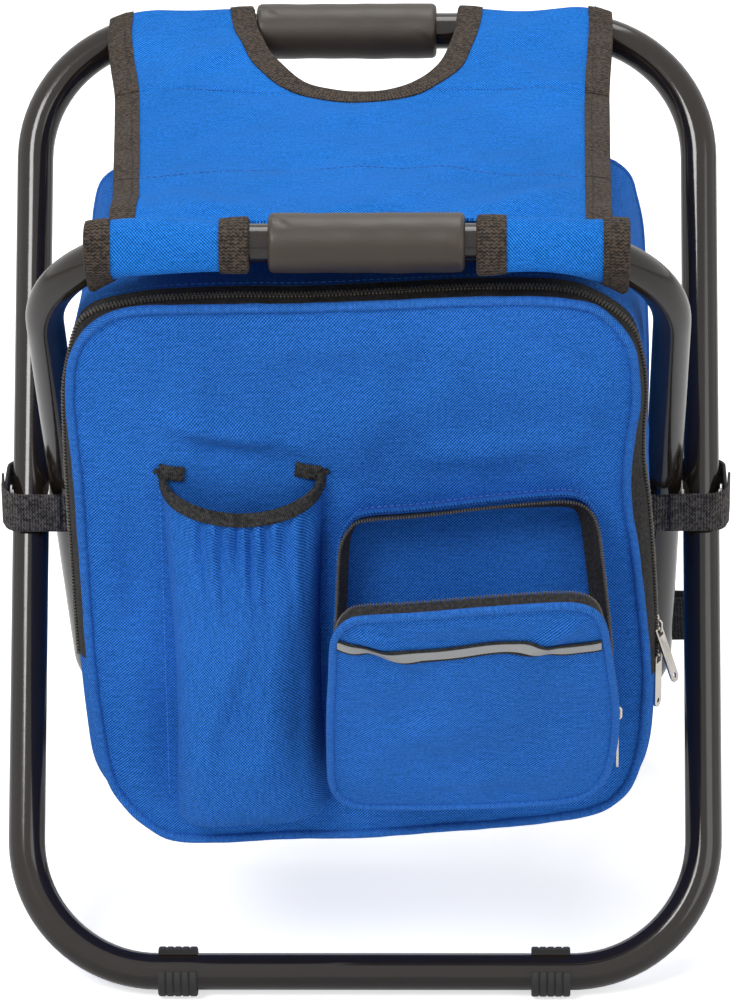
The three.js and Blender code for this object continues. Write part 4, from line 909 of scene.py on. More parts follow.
class AlongPath:
    """A geometry tree that sets small solids at points with a stored direction and normal."""

    SIZES = ("Length", "Width", "Height")

    def __init__(self) -> None:
        """Builds the tree and keeps its inputs' identifiers."""
        self.tree = bpy.data.node_groups.new("along_path", "GeometryNodeTree")
        face = self.tree.interface
        kinds = {"Geometry": "Geometry", **dict.fromkeys(self.SIZES, "Float"), "Round": "Bool", "Seed": "Int",
                 "Material": "Material"}
        self.ids = {label: face.new_socket(label, in_out="INPUT", socket_type="NodeSocket" + kind).identifier
                    for label, kind in kinds.items()}
        face.new_socket("Geometry", in_out="OUTPUT", socket_type="NodeSocketGeometry")
        self._wire()

    def _wire(self) -> None:
        """Adds the nodes and links them."""
        tree = Tree(self.tree)
        source = tree.add("NodeGroupInput").outputs
        size = tree.add("ShaderNodeCombineXYZ", {axis: source[label] for axis, label in enumerate(self.SIZES)})
        ball = tree.add("GeometryNodeMeshUVSphere", {"Segments": 8, "Rings": 5, "Radius": 0.5})
        block = tree.add("GeometryNodeMeshCube")
        choice = tree.add("GeometryNodeSwitch", {"Switch": source["Round"], "False": block.outputs["Mesh"],
                                                 "True": ball.outputs["Mesh"]}, input_type="GEOMETRY")
        cells = tree.add("GeometryNodeMeshToPoints", {"Mesh": source["Geometry"]})
        turned: dict[str, Socket] = {}
        for axis, pivot, attribute in (("X", "AUTO", "along"), ("Z", "X", "facing")):
            named = tree.add("GeometryNodeInputNamedAttribute", {"Name": attribute}, data_type="FLOAT_VECTOR")
            turn = tree.add("FunctionNodeAlignRotationToVector", {**turned, "Vector": named.outputs["Attribute"]},
                            axis=axis, pivot_axis=pivot)
            turned = {"Rotation": turn.outputs["Rotation"]}
        vary = tree.add("FunctionNodeRandomValue", {2: 0.9, 3: 1.1, "Seed": source["Seed"]}, data_type="FLOAT")
        scale = tree.add("ShaderNodeVectorMath", {0: size.outputs[0], "Scale": vary.outputs[1]}, operation="SCALE")
        place = tree.add("GeometryNodeInstanceOnPoints", {"Points": cells.outputs[0], "Instance": choice.outputs[0],
                                                          "Scale": scale.outputs[0], **turned})
        real = tree.add("GeometryNodeRealizeInstances", {0: place.outputs[0]})
        dressed = tree.add("GeometryNodeSetMaterial", {"Geometry": real.outputs[0], "Material": source["Material"]})
        tree.add("NodeGroupOutput", {0: dressed.outputs[0]})

    def piece(self, name: str, points: Points, along: Points, facing: Points, size: tuple[float, float, float],
              look: str, rounded: bool, seed: int = 1) -> Piece:
        """Makes one plain mesh of solids at points.

        Args:
            name: The piece's name.
            points: Where the solids stand, in millimetres.
            along: The direction of each solid's length.
            facing: The surface's normal at each solid.
            size: Length, width and height in millimetres.
            look: The finish's name.
            rounded: Whether each solid is a grain, and not a block.
            seed: Fixes the small differences in size.

        Returns:
            The piece.
        """
        mesh = bpy.data.meshes.new(name + "_seeds")
        mesh.from_pydata([tuple(p) for p in in_frame(points)], [], [])
        for label, rows in (("along", along), ("facing", facing)):
            layer = mesh.attributes.new(label, "FLOAT_VECTOR", "POINT")
            layer.data.foreach_set("vector", np.asarray(rows, np.float32).ravel())
        seeds = placed(name + "_seeds", mesh)
        modifier = seeds.modifiers.new("along_path", "NODES")
        modifier.node_group = self.tree
        for label, value in zip(self.SIZES, size):
            modifier[self.ids[label]] = value * MM
        for label, value in (("Round", rounded), ("Seed", seed), ("Material", finish(look))):
            modifier[self.ids[label]] = value
        made = plain_mesh(seeds)
        made.name = name
        made.polygons.foreach_set("use_smooth", [rounded] * len(made.polygons))
        return placed(name, made)


class Workshop:
    """Keeps what all sub-assemblies share and reports each piece."""

    def __init__(self) -> None:
        """Builds the shared geometry tree."""
        self.along_path = AlongPath()

    def ride(self, piece: Piece, body: str, slot: str, *nodes: str) -> Piece:
        """Lets a piece ride on a body in place of CAD nodes.

        Args:
            piece: The piece.
            body: The body's name.
            slot: Not used.
            nodes: CAD nodes that it stands for.

        Returns:
            The piece.
        """
        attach(piece, body)
        return self._note(piece, nodes)

    def blend(self, piece: Piece, bodies: tuple[str, str], start: Sequence[float], end: Sequence[float],
              slot: str, *nodes: str) -> Piece:
        """Bakes a piece's placement into its mesh and hides the CAD nodes that it stands for; it doesn't bend between
        bodies.

        Args:
            piece: The piece.
            bodies: Not used.
            start, end: Not used.
            slot: Not used.
            nodes: CAD nodes that it stands for.

        Returns:
            The piece.
        """
        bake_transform(piece)
        return self._note(piece, nodes)

    def _note(self, piece: Piece, nodes: Sequence[str]) -> Piece:
        """Hides the CAD nodes that a piece stands for and logs its face count.

        Args:
            piece: The piece.
            nodes: CAD nodes that it stands for.

        Returns:
            The piece.
        """
        if nodes:
            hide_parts(*nodes)
        LOG.info("%s: %d faces", piece.name, len(piece.data.polygons))
        return piece

    def stitches(self, name: str, path: Points, facing: Points, look: str, pitch: float = 3.0,
                 size: tuple[float, float, float] = (2.2, 0.55, 0.4), closed: bool = False) -> Piece:
        """Sews a run of stitches along a path.

        Args:
            name: The piece's name.
            path: Rows of points on the cloth's face.
            facing: The cloth's normal at each point.
            look: The thread's finish.
            pitch: From stitch to stitch.
            size: A stitch's length, width and height.
            closed: Whether the path returns to its start.

        Returns:
            The piece.
        """
        both = evenly(np.hstack([path, facing * 0.001]), pitch, closed)
        spots, normal = both[:, :3], unit(both[:, 3:])
        return self.along_path.piece(name, spots, tangents(spots, closed), normal, size, look, True)


GRIP_LOW, GRIP_HIGH = node_box("rear_grip")
BAR_Y, BAR_Z = (GRIP_LOW[1] + GRIP_HIGH[1]) / 2, (GRIP_LOW[2] + GRIP_HIGH[2]) / 2
TILT = math.atan2(BAR_Y, BAR_Z - PIVOT_Z)
REACH = math.hypot(BAR_Y, BAR_Z - PIVOT_Z)
TUBE_RADIUS = 9.0


@dataclass(frozen=True)
class TubeLoop:
    """A tube bent into a rounded rectangle that leans about the pivots."""

    node: str
    bend: float
    lean: float

    @property
    def width(self) -> float:
        """Gives the distance between the legs' centre lines."""
        low, high = node_box(self.node)
        return high[0] - low[0] - 2 * TUBE_RADIUS

    def place(self, x: Points, up: Points) -> Points:
        """Gives points of the leaning plane from x and the height along the lean."""
        return np.stack([x, self.lean * math.sin(TILT) * up, PIVOT_Z + math.cos(TILT) * up], axis=-1)

    def drop(self, x: Points) -> Points:
        """Gives how far the top bar has bent down along the lean at a place along x."""
        past = np.maximum(0.0, np.abs(x) - (self.width / 2 - self.bend))
        return self.bend - np.sqrt(self.bend ** 2 - past ** 2)

    def piece(self) -> Piece:
        """Makes the tube.

        Returns:
            The piece.
        """
        half = self.width / 2
        flat = evenly(rounded_box(-half, half, -REACH, REACH, self.bend, 28), 5.0, True)
        plane = np.array([0.0, math.cos(TILT), -self.lean * math.sin(TILT)])
        return swept(self.node + "_smooth", self.place(flat[:, 0], flat[:, 1]), circle(TUBE_RADIUS, 56), plane,
                     "tube_paint", True)


OUTER = TubeLoop("outer_tube", 65.0, 1.0)
INNER = TubeLoop("inner_tube", 70.0, -1.0)


@dataclass
class FoldingFrame:
    """Both loops with their grips, feet, rivets and washers."""

    shop: Workshop
    grip_radius: float = 13.8
    grip_round: float = 2.6
    foot_wall: float = 2.35
    foot_ribs: int = 5
    foot_rib: float = 0.6
    foot_length: float = 19.0
    foot_mouth: float = 62.0
    foot_tilt: float = 60.0

    def build(self) -> None:
        """Makes and dresses all pieces."""
        for loop, body in ((OUTER, "outer_frame"), (INNER, "inner_frame")):
            self.shop.ride(loop.piece(), body, "painted_steel", loop.node)
        for node, body in (("rear_grip", "outer_frame"), ("front_grip", "inner_frame")):
            self.shop.ride(self.grip(node), body, "foam_rubber", node)
        for label in ("left", "right"):
            for end, body in (("front", "outer_frame"), ("rear", "inner_frame")):
                node = f"{end}_foot_{label}"
                self.shop.ride(self.foot(node, -1.0 if end == "front" else 1.0), body, "foot_rubber", node)
            for node, look in ((f"pivot_rivet_{label}", "zinc"), (f"pivot_washer_{label}", "nylon")):
                dress(node, look)

    def grip(self, node: str) -> Piece:
        """Makes a foam grip with rounded ends and a soft, slightly creased skin.

        Args:
            node: The grip's CAD node.

        Returns:
            The piece.
        """
        low, high = node_box(node)
        centre = (low + high) / 2
        half = (high[0] - low[0]) / 2
        bore, radius, curl = TUBE_RADIUS + 0.3, self.grip_radius, self.grip_round
        turn = np.linspace(0.0, math.pi / 2, 7)
        right = [(radius - curl + curl * math.cos(a), half - curl + curl * math.sin(a)) for a in turn]
        left = [(r, -x) for r, x in right[::-1]]
        straight = [(radius, x) for x in np.linspace(-half + curl, half - curl, 46)[1:-1]]
        profile = [(bore, -half + 1.5), *left, *straight, *right, (bore, half - 1.5)]
        around = np.linspace(0.0, math.tau, 72, endpoint=False)
        creases = [Fold((-half + 1, 22.0), (-half + 9, 30.0), -0.9, 0.9),
                   Fold((-half + 2, 33.0), (-half + 7, 26.0), -0.6, 0.8),
                   Fold((half - 8, 40.0), (half - 1, 47.0), -0.7, 0.9), Fold((-12.0, 8.0), (14.0, 11.0), -0.35, 2.5)]
        rings = []
        for r, x in profile:
            flat = np.stack([np.full_like(around, x), around * radius], axis=1)
            soft = ripple(flat, 26.0, 0.35, 5) + folded(flat, creases) if r > bore else 0.0
            size = r + soft
            rings.append(np.stack([np.full_like(around, centre[0] + x), centre[1] + size * np.cos(around),
                                   centre[2] + size * np.sin(around)], axis=1))
        return ring_piece(node + "_foam", rings, "grip_foam", True)

    def foot(self, node: str, outwards: float) -> Piece:
        """Makes a ribbed clip that is open towards the outside and flat on the floor.

        Args:
            node: The foot's CAD node.
            outwards: -1 for a front foot and 1 for a rear one.

        Returns:
            The piece.
        """
        low, high = node_box(node)
        middle, half = (low[0] + high[0]) / 2, self.foot_length / 2
        bar = np.array([outwards * BAR_Y, 2 * PIVOT_Z - BAR_Z])
        bore = TUBE_RADIUS + 0.25
        outer = bore + self.foot_wall
        crest = outer + self.foot_rib
        ribs = []
        for k in range(self.foot_ribs):
            x = (k - self.foot_ribs // 2) * half / (self.foot_ribs / 2)
            ribs += [(outer, x - 1.9), (crest, x - 1.2), (crest, x + 1.2), (outer, x + 1.9)]
        profile = [(bore, -half), *ribs, (bore, half)]
        mouth = math.radians(self.foot_tilt if outwards > 0 else 180.0 - self.foot_tilt)
        gap = math.radians(self.foot_mouth) / 2
        rings = []
        for a in np.linspace(mouth + gap, mouth + math.tau - gap, 72):
            rings.append([(middle + x, bar[0] + r * math.cos(a), max(0.0, bar[1] + r * math.sin(a)))
                          for r, x in profile])
        return ring_piece(node + "_clip", np.array(rings), "foot_rubber", False, 40.0)


def dress(node: str, look: str) -> None:
    """Gives a CAD node a better material on all its slots.

    Args:
        node: The node's name.
        look: The finish's name.
    """
    piece = FRAME["nodes"][node]
    for place in piece.material_slots:
        place.material = finish(look)
    if not piece.material_slots:
        piece.data.materials.append(finish(look))


@dataclass
class Sling:
    """The seat: one cloth with a sleeve round each top bar, its bindings and its stitching."""

    shop: Workshop
    cloth: float = 1.5
    sleeve: float = 10.6
    sag: float = 13.0
    rear_seam: float = 55.0
    front_seam: float = -61.0
    hang: float = 386.3
    tape_width: float = 11.0
    tab_left: float = -49.3
    tab_right: float = 56.9
    rear_bow: float = -3.0
    front_bow: float = -17.0
    hem_step: float = 1.1
    droop: float = 5.0

    def level(self, x: Points, y: Points) -> Points:
        """Gives the height of the sling between the bars.

        Args:
            x: Places across the seat.
            y: Depths.

        Returns:
            Heights.
        """
        rear_z, front_z = BAR_Z - OUTER.drop(x) * math.cos(TILT), BAR_Z - 0.12 * INNER.drop(x) * math.cos(TILT)
        share = np.clip((BAR_Y - y) / (2 * BAR_Y), 0.0, 1.0)
        return rear_z + (front_z - rear_z) * share + self.sleeve - self.sag * (1 - (2 * share - 1) ** 2)

    def controls(self, x: Points) -> Points:
        """Gives the side-view points that the cloth follows at each x, from the rear hem to the front hem.

        Args:
            x: Places across the seat.

        Returns:
            For each x, rows of y and z.
        """
        rear_y = BAR_Y - OUTER.drop(x) * math.sin(TILT)
        rear_z = BAR_Z - OUTER.drop(x) * math.cos(TILT)
        fall = INNER.drop(x) * math.cos(TILT)
        inward = INNER.drop(x) * math.sin(TILT)
        under = self.cloth + 0.5
        rows = [(np.full_like(x, self.rear_seam), self.level(x, self.rear_seam) - under)]
        for share in (0.3, 0.7):
            y = self.rear_seam + share * (rear_y - self.rear_seam)
            z = self.level(x, self.rear_seam) - under
            rows.append((y, z + share * (rear_z - self.sleeve - z) - 3.0 * share))
        for angle in (-92.0, -50.0, -10.0, 35.0, 70.0, 92.0):
            a = math.radians(angle)
            rows.append((rear_y + self.sleeve * math.cos(a), rear_z + self.sleeve * math.sin(a)))
        for share in (0.1, 0.22, 0.36, 0.5, 0.64, 0.78, 0.9):
            y = BAR_Y * (1 - 2 * share)
            rows.append((np.full_like(x, y), self.level(x, y)))
        rows.append((np.full_like(x, -BAR_Y + 13.0), self.level(x, -BAR_Y + 13.0) - 3.6))
        top = BAR_Z - 0.12 * fall
        slope = fall / np.maximum(1.0, np.sqrt(INNER.bend ** 2 - np.maximum(0.0, np.abs(x) - 77.0) ** 2))
        under_tube = np.minimum(self.hang, BAR_Z - fall - TUBE_RADIUS * (1.0 + 1.6 * slope) - 1.4)
        low = self.hang - 2.0 * smoothstep(70.0, 122.0, np.abs(x))
        front = -BAR_Y - self.sleeve
        rows += [(np.full_like(x, -BAR_Y + 2.0), top + self.sleeve - 0.2), (front + 4.5 + 0.0 * x, top + 8.2),
                 (front - 0.2 + 0.1 * inward, top + 0.5), (front + 0.4 + 0.3 * inward, (top + low) / 2 - 3.0),
                 (front + 3.6 + 0.4 * inward, low + 1.4), (front + 12.0 + 0.9 * inward, under_tube)]
        end = self.level(x, self.front_seam) - under
        for share in (0.35, 0.7):
            y = front + 12.0 + share * (self.front_seam - front - 12.0)
            rows.append((y + 0.0 * x, under_tube + (end - under_tube) * share ** 1.3 + 1.0))
        rows.append((np.full_like(x, self.front_seam), end))
        return np.stack([np.stack(row, axis=-1) for row in rows], axis=1)

    @cached_property
    def middle(self) -> Points:
        """Gives the side-view points at the middle of the seat."""
        return self.controls(np.zeros(1))[0]

    @cached_property
    def marks(self) -> Points:
        """Gives the lengths along the cloth at the side-view points."""
        return np.concatenate([[0.0], np.cumsum(np.linalg.norm(np.diff(self.middle, axis=0), axis=1))])

    def lay(self, flat: Points) -> Points:
        """Lays flat cloth points (x, length from the rear hem) out in space.

        Args:
            flat: Rows of x and length.

        Returns:
            Rows of points in space.
        """
        marks = self.marks
        points = self.controls(flat[:, 0])
        t = np.clip(flat[:, 1], marks[0], marks[-1])
        i = np.clip(np.searchsorted(marks, t, side="right") - 1, 0, len(marks) - 2)
        span = marks[i + 1] - marks[i]
        s = ((t - marks[i]) / span)[:, None]
        rows = np.arange(len(flat))
        a, b = points[rows, i], points[rows, i + 1]
        before, after = points[rows, np.maximum(i - 1, 0)], points[rows, np.minimum(i + 2, len(marks) - 1)]
        gap_b = np.where(i > 0, marks[i + 1] - marks[np.maximum(i - 1, 0)], span)[:, None]
        gap_a = np.where(i < len(marks) - 2, marks[np.minimum(i + 2, len(marks) - 1)] - marks[i], span)[:, None]
        da = (b - before) / gap_b * span[:, None]
        db = (after - a) / gap_a * span[:, None]
        side = ((2 * s ** 3 - 3 * s ** 2 + 1) * a + (s ** 3 - 2 * s ** 2 + s) * da
                + (-2 * s ** 3 + 3 * s ** 2) * b + (s ** 3 - s ** 2) * db)
        spot = np.stack([flat[:, 0], side[:, 0], side[:, 1]], axis=1)
        spot[:, 2] += self.wrinkles(flat) * smoothstep(0.0, 60.0, t) * (1 - smoothstep(marks[-1] - 40, marks[-1], t))
        bow = np.cos(np.clip(flat[:, 0] / 112.0, -1.0, 1.0) * math.pi / 2)
        rear, front = self.at(self.rear_seam) + self.rear_bow * bow, self.at(self.front_seam) + self.front_bow * bow
        blur = 1.0 + 4.0 * np.exp(-(flat[:, 0] / 50.0) ** 4)
        hem = smoothstep(0.0, 1.0, (t - rear) / (2 * blur) + 0.5) * (1.0 - smoothstep(front - 1.0, front + 1.0, t))
        middle = np.exp(-((flat[:, 0] + 4.0) / 40.0) ** 2 - ((spot[:, 1] - 66.0) / 24.0) ** 2)
        spot[:, 2] -= self.hem_step * hem + self.droop * middle
        return spot

    def wrinkles(self, flat: Points) -> Points:
        """Gives the unevenness of the stretched cloth.

        Args:
            flat: Rows of x and length.

        Returns:
            One rise for each point.
        """
        start, end = self.at(30.0), self.at(-90.0)
        folds = [Fold((-62.0, self.at(100.0)), (-105.0, self.at(60.0)), 1.2, 9.0),
                 Fold((50.0, self.at(100.0)), (92.0, self.at(62.0)), 1.2, 9.0),
                 Fold((-40.0, start), (30.0, end), 0.8, 16.0), Fold((70.0, start), (20.0, end), 0.7, 14.0),
                 Fold((-95.0, self.at(-70.0)), (-60.0, self.at(-118.0)), 1.0, 8.0),
                 Fold((104.0, self.at(-72.0)), (66.0, self.at(-118.0)), 1.0, 8.0)]
        return ripple(flat, 40.0, 3.0, 11) + 2.2 * folded(flat, folds)

    def at(self, y: float) -> float:
        """Gives the length along the cloth at a place y between the bars, on the upper layer."""
        upper = slice(8, 18)
        return float(np.interp(-y, -self.middle[upper, 0], self.marks[upper]))

    def sides(self, t: Points, side: float) -> Points:
        """Gives the cloth's edge at a length along it, left (-1) or right (+1).

        Args:
            t: Lengths from the rear hem.
            side: Which edge.

        Returns:
            The edge's x at each length.
        """
        bar = self.at(-BAR_Y + 9.0)
        rear, waist, narrow, tab = (-128.0, -121.3, -112.6, -122.6) if side < 0 else (122.0, 119.2, 117.0, 124.6)
        edge = rear + (waist - rear) * smoothstep(self.at(125.0), self.at(50.0), t)
        edge += (narrow - waist) * np.clip((t - self.at(66.0)) / (self.at(-88.0) - self.at(66.0)), 0.0, 1.0)
        edge += (tab - narrow) * smoothstep(bar - 1.5, bar + 1.5, t)
        edge -= (tab - side * 111.0) * smoothstep(self.marks[-1] - 76.0, self.marks[-1] - 60.0, t)
        return edge - side * 9.0 * (1.0 - smoothstep(self.at(BAR_Y) - 34.0, self.at(BAR_Y) - 20.0, t))

    def edge(self, side: float, start: float, end: float) -> Points:
        """Gives flat points along a side edge."""
        t = np.linspace(start, end, max(2, int((end - start) / 3.0)))
        return np.stack([self.sides(t, side), t], axis=1)

    def rear_hole(self) -> Points:
        """Gives the hand opening at the rear bar, from the upper layer round the bar to the lower one.

        Returns:
            Rows of x and length from the rear hem.
        """
        bar = self.at(BAR_Y - 4.0) - 17.0
        deep = self.at(60.5) - bar
        half = [(-58.0, 0.0), (-57.2, 0.15), (-55.2, 0.31), (-51.6, 0.48), (-45.8, 0.66), (-37.5, 0.82), (-26.5, 0.935),
                (-13.0, 0.99), (0.0, 1.0), (12.0, 0.995), (22.0, 0.96), (31.0, 0.87), (37.8, 0.73), (42.4, 0.55),
                (45.4, 0.35), (46.9, 0.16), (47.2, 0.0)]
        upper = [(x, bar + deep * s) for x, s in half]
        lower = [(x, bar - deep * s) for x, s in half[-2:0:-1]]
        return spline(upper + lower, True, 8)

    def front_hole(self) -> Points:
        """Gives the opening between the two front tabs."""
        start, end = self.at(-BAR_Y + 8.0), self.marks[-1] - 34.0
        return rounded_box(self.tab_left, self.tab_right, start, end, 5.0, 6)

    def build(self) -> None:
        """Makes and dresses the seat."""
        length = self.marks[-1]
        outline = np.vstack([self.edge(1.0, 0.0, length), self.edge(-1.0, 0.0, length)[::-1]])
        holes = [self.rear_hole(), self.front_hole()]
        cloth = pattern_piece("seat_cloth", outline, self.lay, self.cloth, "seat_twill", 3.2, holes)
        span = ((0.0, BAR_Y, BAR_Z), (0.0, -BAR_Y, BAR_Z))
        bodies = ("outer_frame", "inner_frame")
        self.shop.blend(cloth, bodies, *span, "seat_fabric", "seat_sling")
        bars = [self.at(self.rear_seam), self.at(self.front_seam)]
        trims = []
        for label, side in SIDES:
            for number, (start, end) in enumerate(((2.0, bars[0] + 1.5), (bars[0] + 2.5, bars[1] + 1.0),
                                                   (bars[1] + 2.0, length - 2.0))):
                edge = self.edge(side, start, end)
                piece = binding(f"seat_edge_{label}_{number}", edge, np.array([[-side, 0.0]] * len(edge)),
                                self.tape_width, self.lay, self.cloth, "binding_tape", False)
                nodes = [f"seat_binding_{label}"] if number == 1 else []
                trims.append(self.shop.blend(piece, bodies, *span, "trim_webbing", *nodes))
        rim = evenly(holes[0], 2.5, True)
        rear = binding("seat_rear_opening_tape", rim, outward(rim), self.tape_width, self.lay, self.cloth,
                       "binding_tape", True)
        trims.append(self.shop.blend(rear, bodies, *span, "trim_webbing", "rear_cutout_binding"))
        for label, x, into in (("left", self.tab_left, -1.0), ("right", self.tab_right, 1.0)):
            run = np.linspace(self.at(-BAR_Y + 3.0), length - 38.0, 34)
            edge = np.stack([np.full_like(run, x), run], axis=1)
            piece = binding(f"front_tab_tape_{label}", edge, np.array([[into, 0.0]] * len(edge)),
                            self.tape_width + 1.5, self.lay, self.cloth, "binding_tape", False)
            nodes = ["front_cutout_binding"] if label == "left" else []
            trims.append(self.shop.blend(piece, bodies, *span, "trim_webbing", *nodes))
        trims += self.sew(bars, bodies, span)

    def sew(self, bars: Sequence[float], bodies: tuple[str, str],
            span: tuple[Sequence[float], ...]) -> list[Piece]:
        """Sews both sleeve seams and a row on each binding.

        Args:
            bars: The seams' lengths along the cloth.
            bodies: Passed on to the workshop's blend, which doesn't bend the rows.
            span: Passed on to that blend as well.

        Returns:
            The rows.
        """
        rows: list[tuple[str, Points, str, float]] = []
        x = np.linspace(-105.0, 101.0, 160)
        for name, t, bow in (("rear_seam", bars[0], self.rear_bow), ("front_seam", bars[1], self.front_bow)):
            line = np.stack([x, t + bow * np.sin((x + 105.0) / 206.0 * math.pi)], axis=1)
            rows.append((name, line, "seam_thread", 0.1))
        for label, side in SIDES:
            line = self.edge(side, 4.0, self.marks[-1] - 4.0)
            line[:, 0] -= side * (self.tape_width - 3.4)
            rows.append((f"edge_row_{label}", line, "dark_thread", 1.25))
        sewn = []
        for name, line, look, raised in rows:
            normal = -normals_of(self.lay, line)
            spots = self.lay(line) + normal * (self.cloth / 2 + raised)
            piece = self.shop.stitches("seat_" + name, spots, normal, look, 3.2)
            sewn.append(self.shop.blend(piece, bodies, *span, "trim_webbing"))
        return sewn


def shell(name: str, grid: Points, thickness: float, look: str, wraps: bool = False) -> Piece:
    """Gives a curved strip of cloth its thickness.

    Args:
        name: The piece's name.
        grid: Points of the strip's middle layer, first across it and then along it.
        thickness: The cloth's thickness.
        look: The finish's name.
        wraps: Whether the strip's end joins its start.

    Returns:
        The closed piece.
    """
    across = np.gradient(grid, axis=0)
    along = np.roll(grid, -1, axis=1) - np.roll(grid, 1, axis=1) if wraps else np.gradient(grid, axis=1)
    lift = unit(np.cross(across, along)) * thickness / 2
    rings = np.concatenate([grid + lift, (grid - lift)[::-1]], axis=0)
    return ring_piece(name, np.transpose(rings, (1, 0, 2)), look, wraps, CUT_EDGE)


def at_depth(outline: Points, y: float) -> Points:
    """Puts a flat outline of x and z at a depth y."""
    return np.stack([outline[:, 0], np.full(len(outline), y), outline[:, 1]], axis=1)


def slab(name: str, outline: Points, front: float, back: float, look: str, soft: float = 0.6) -> Piece:
    """Makes a plate with eased edges between two depths.

    Args:
        name: The piece's name.
        outline: The plate's x and z.
        front, back: Its depths.
        look: The finish's name.
        soft: How far its edges are eased.

    Returns:
        The closed piece.
    """
    side = outward(outline)
    steps = ((front, soft), (front + 0.3 * soft, 0.3 * soft), (front + soft, 0.0), (back - soft, 0.0),
             (back - 0.3 * soft, 0.3 * soft), (back, soft))
    return ring_piece(name, [at_depth(outline - side * inset, y) for y, inset in steps], look)


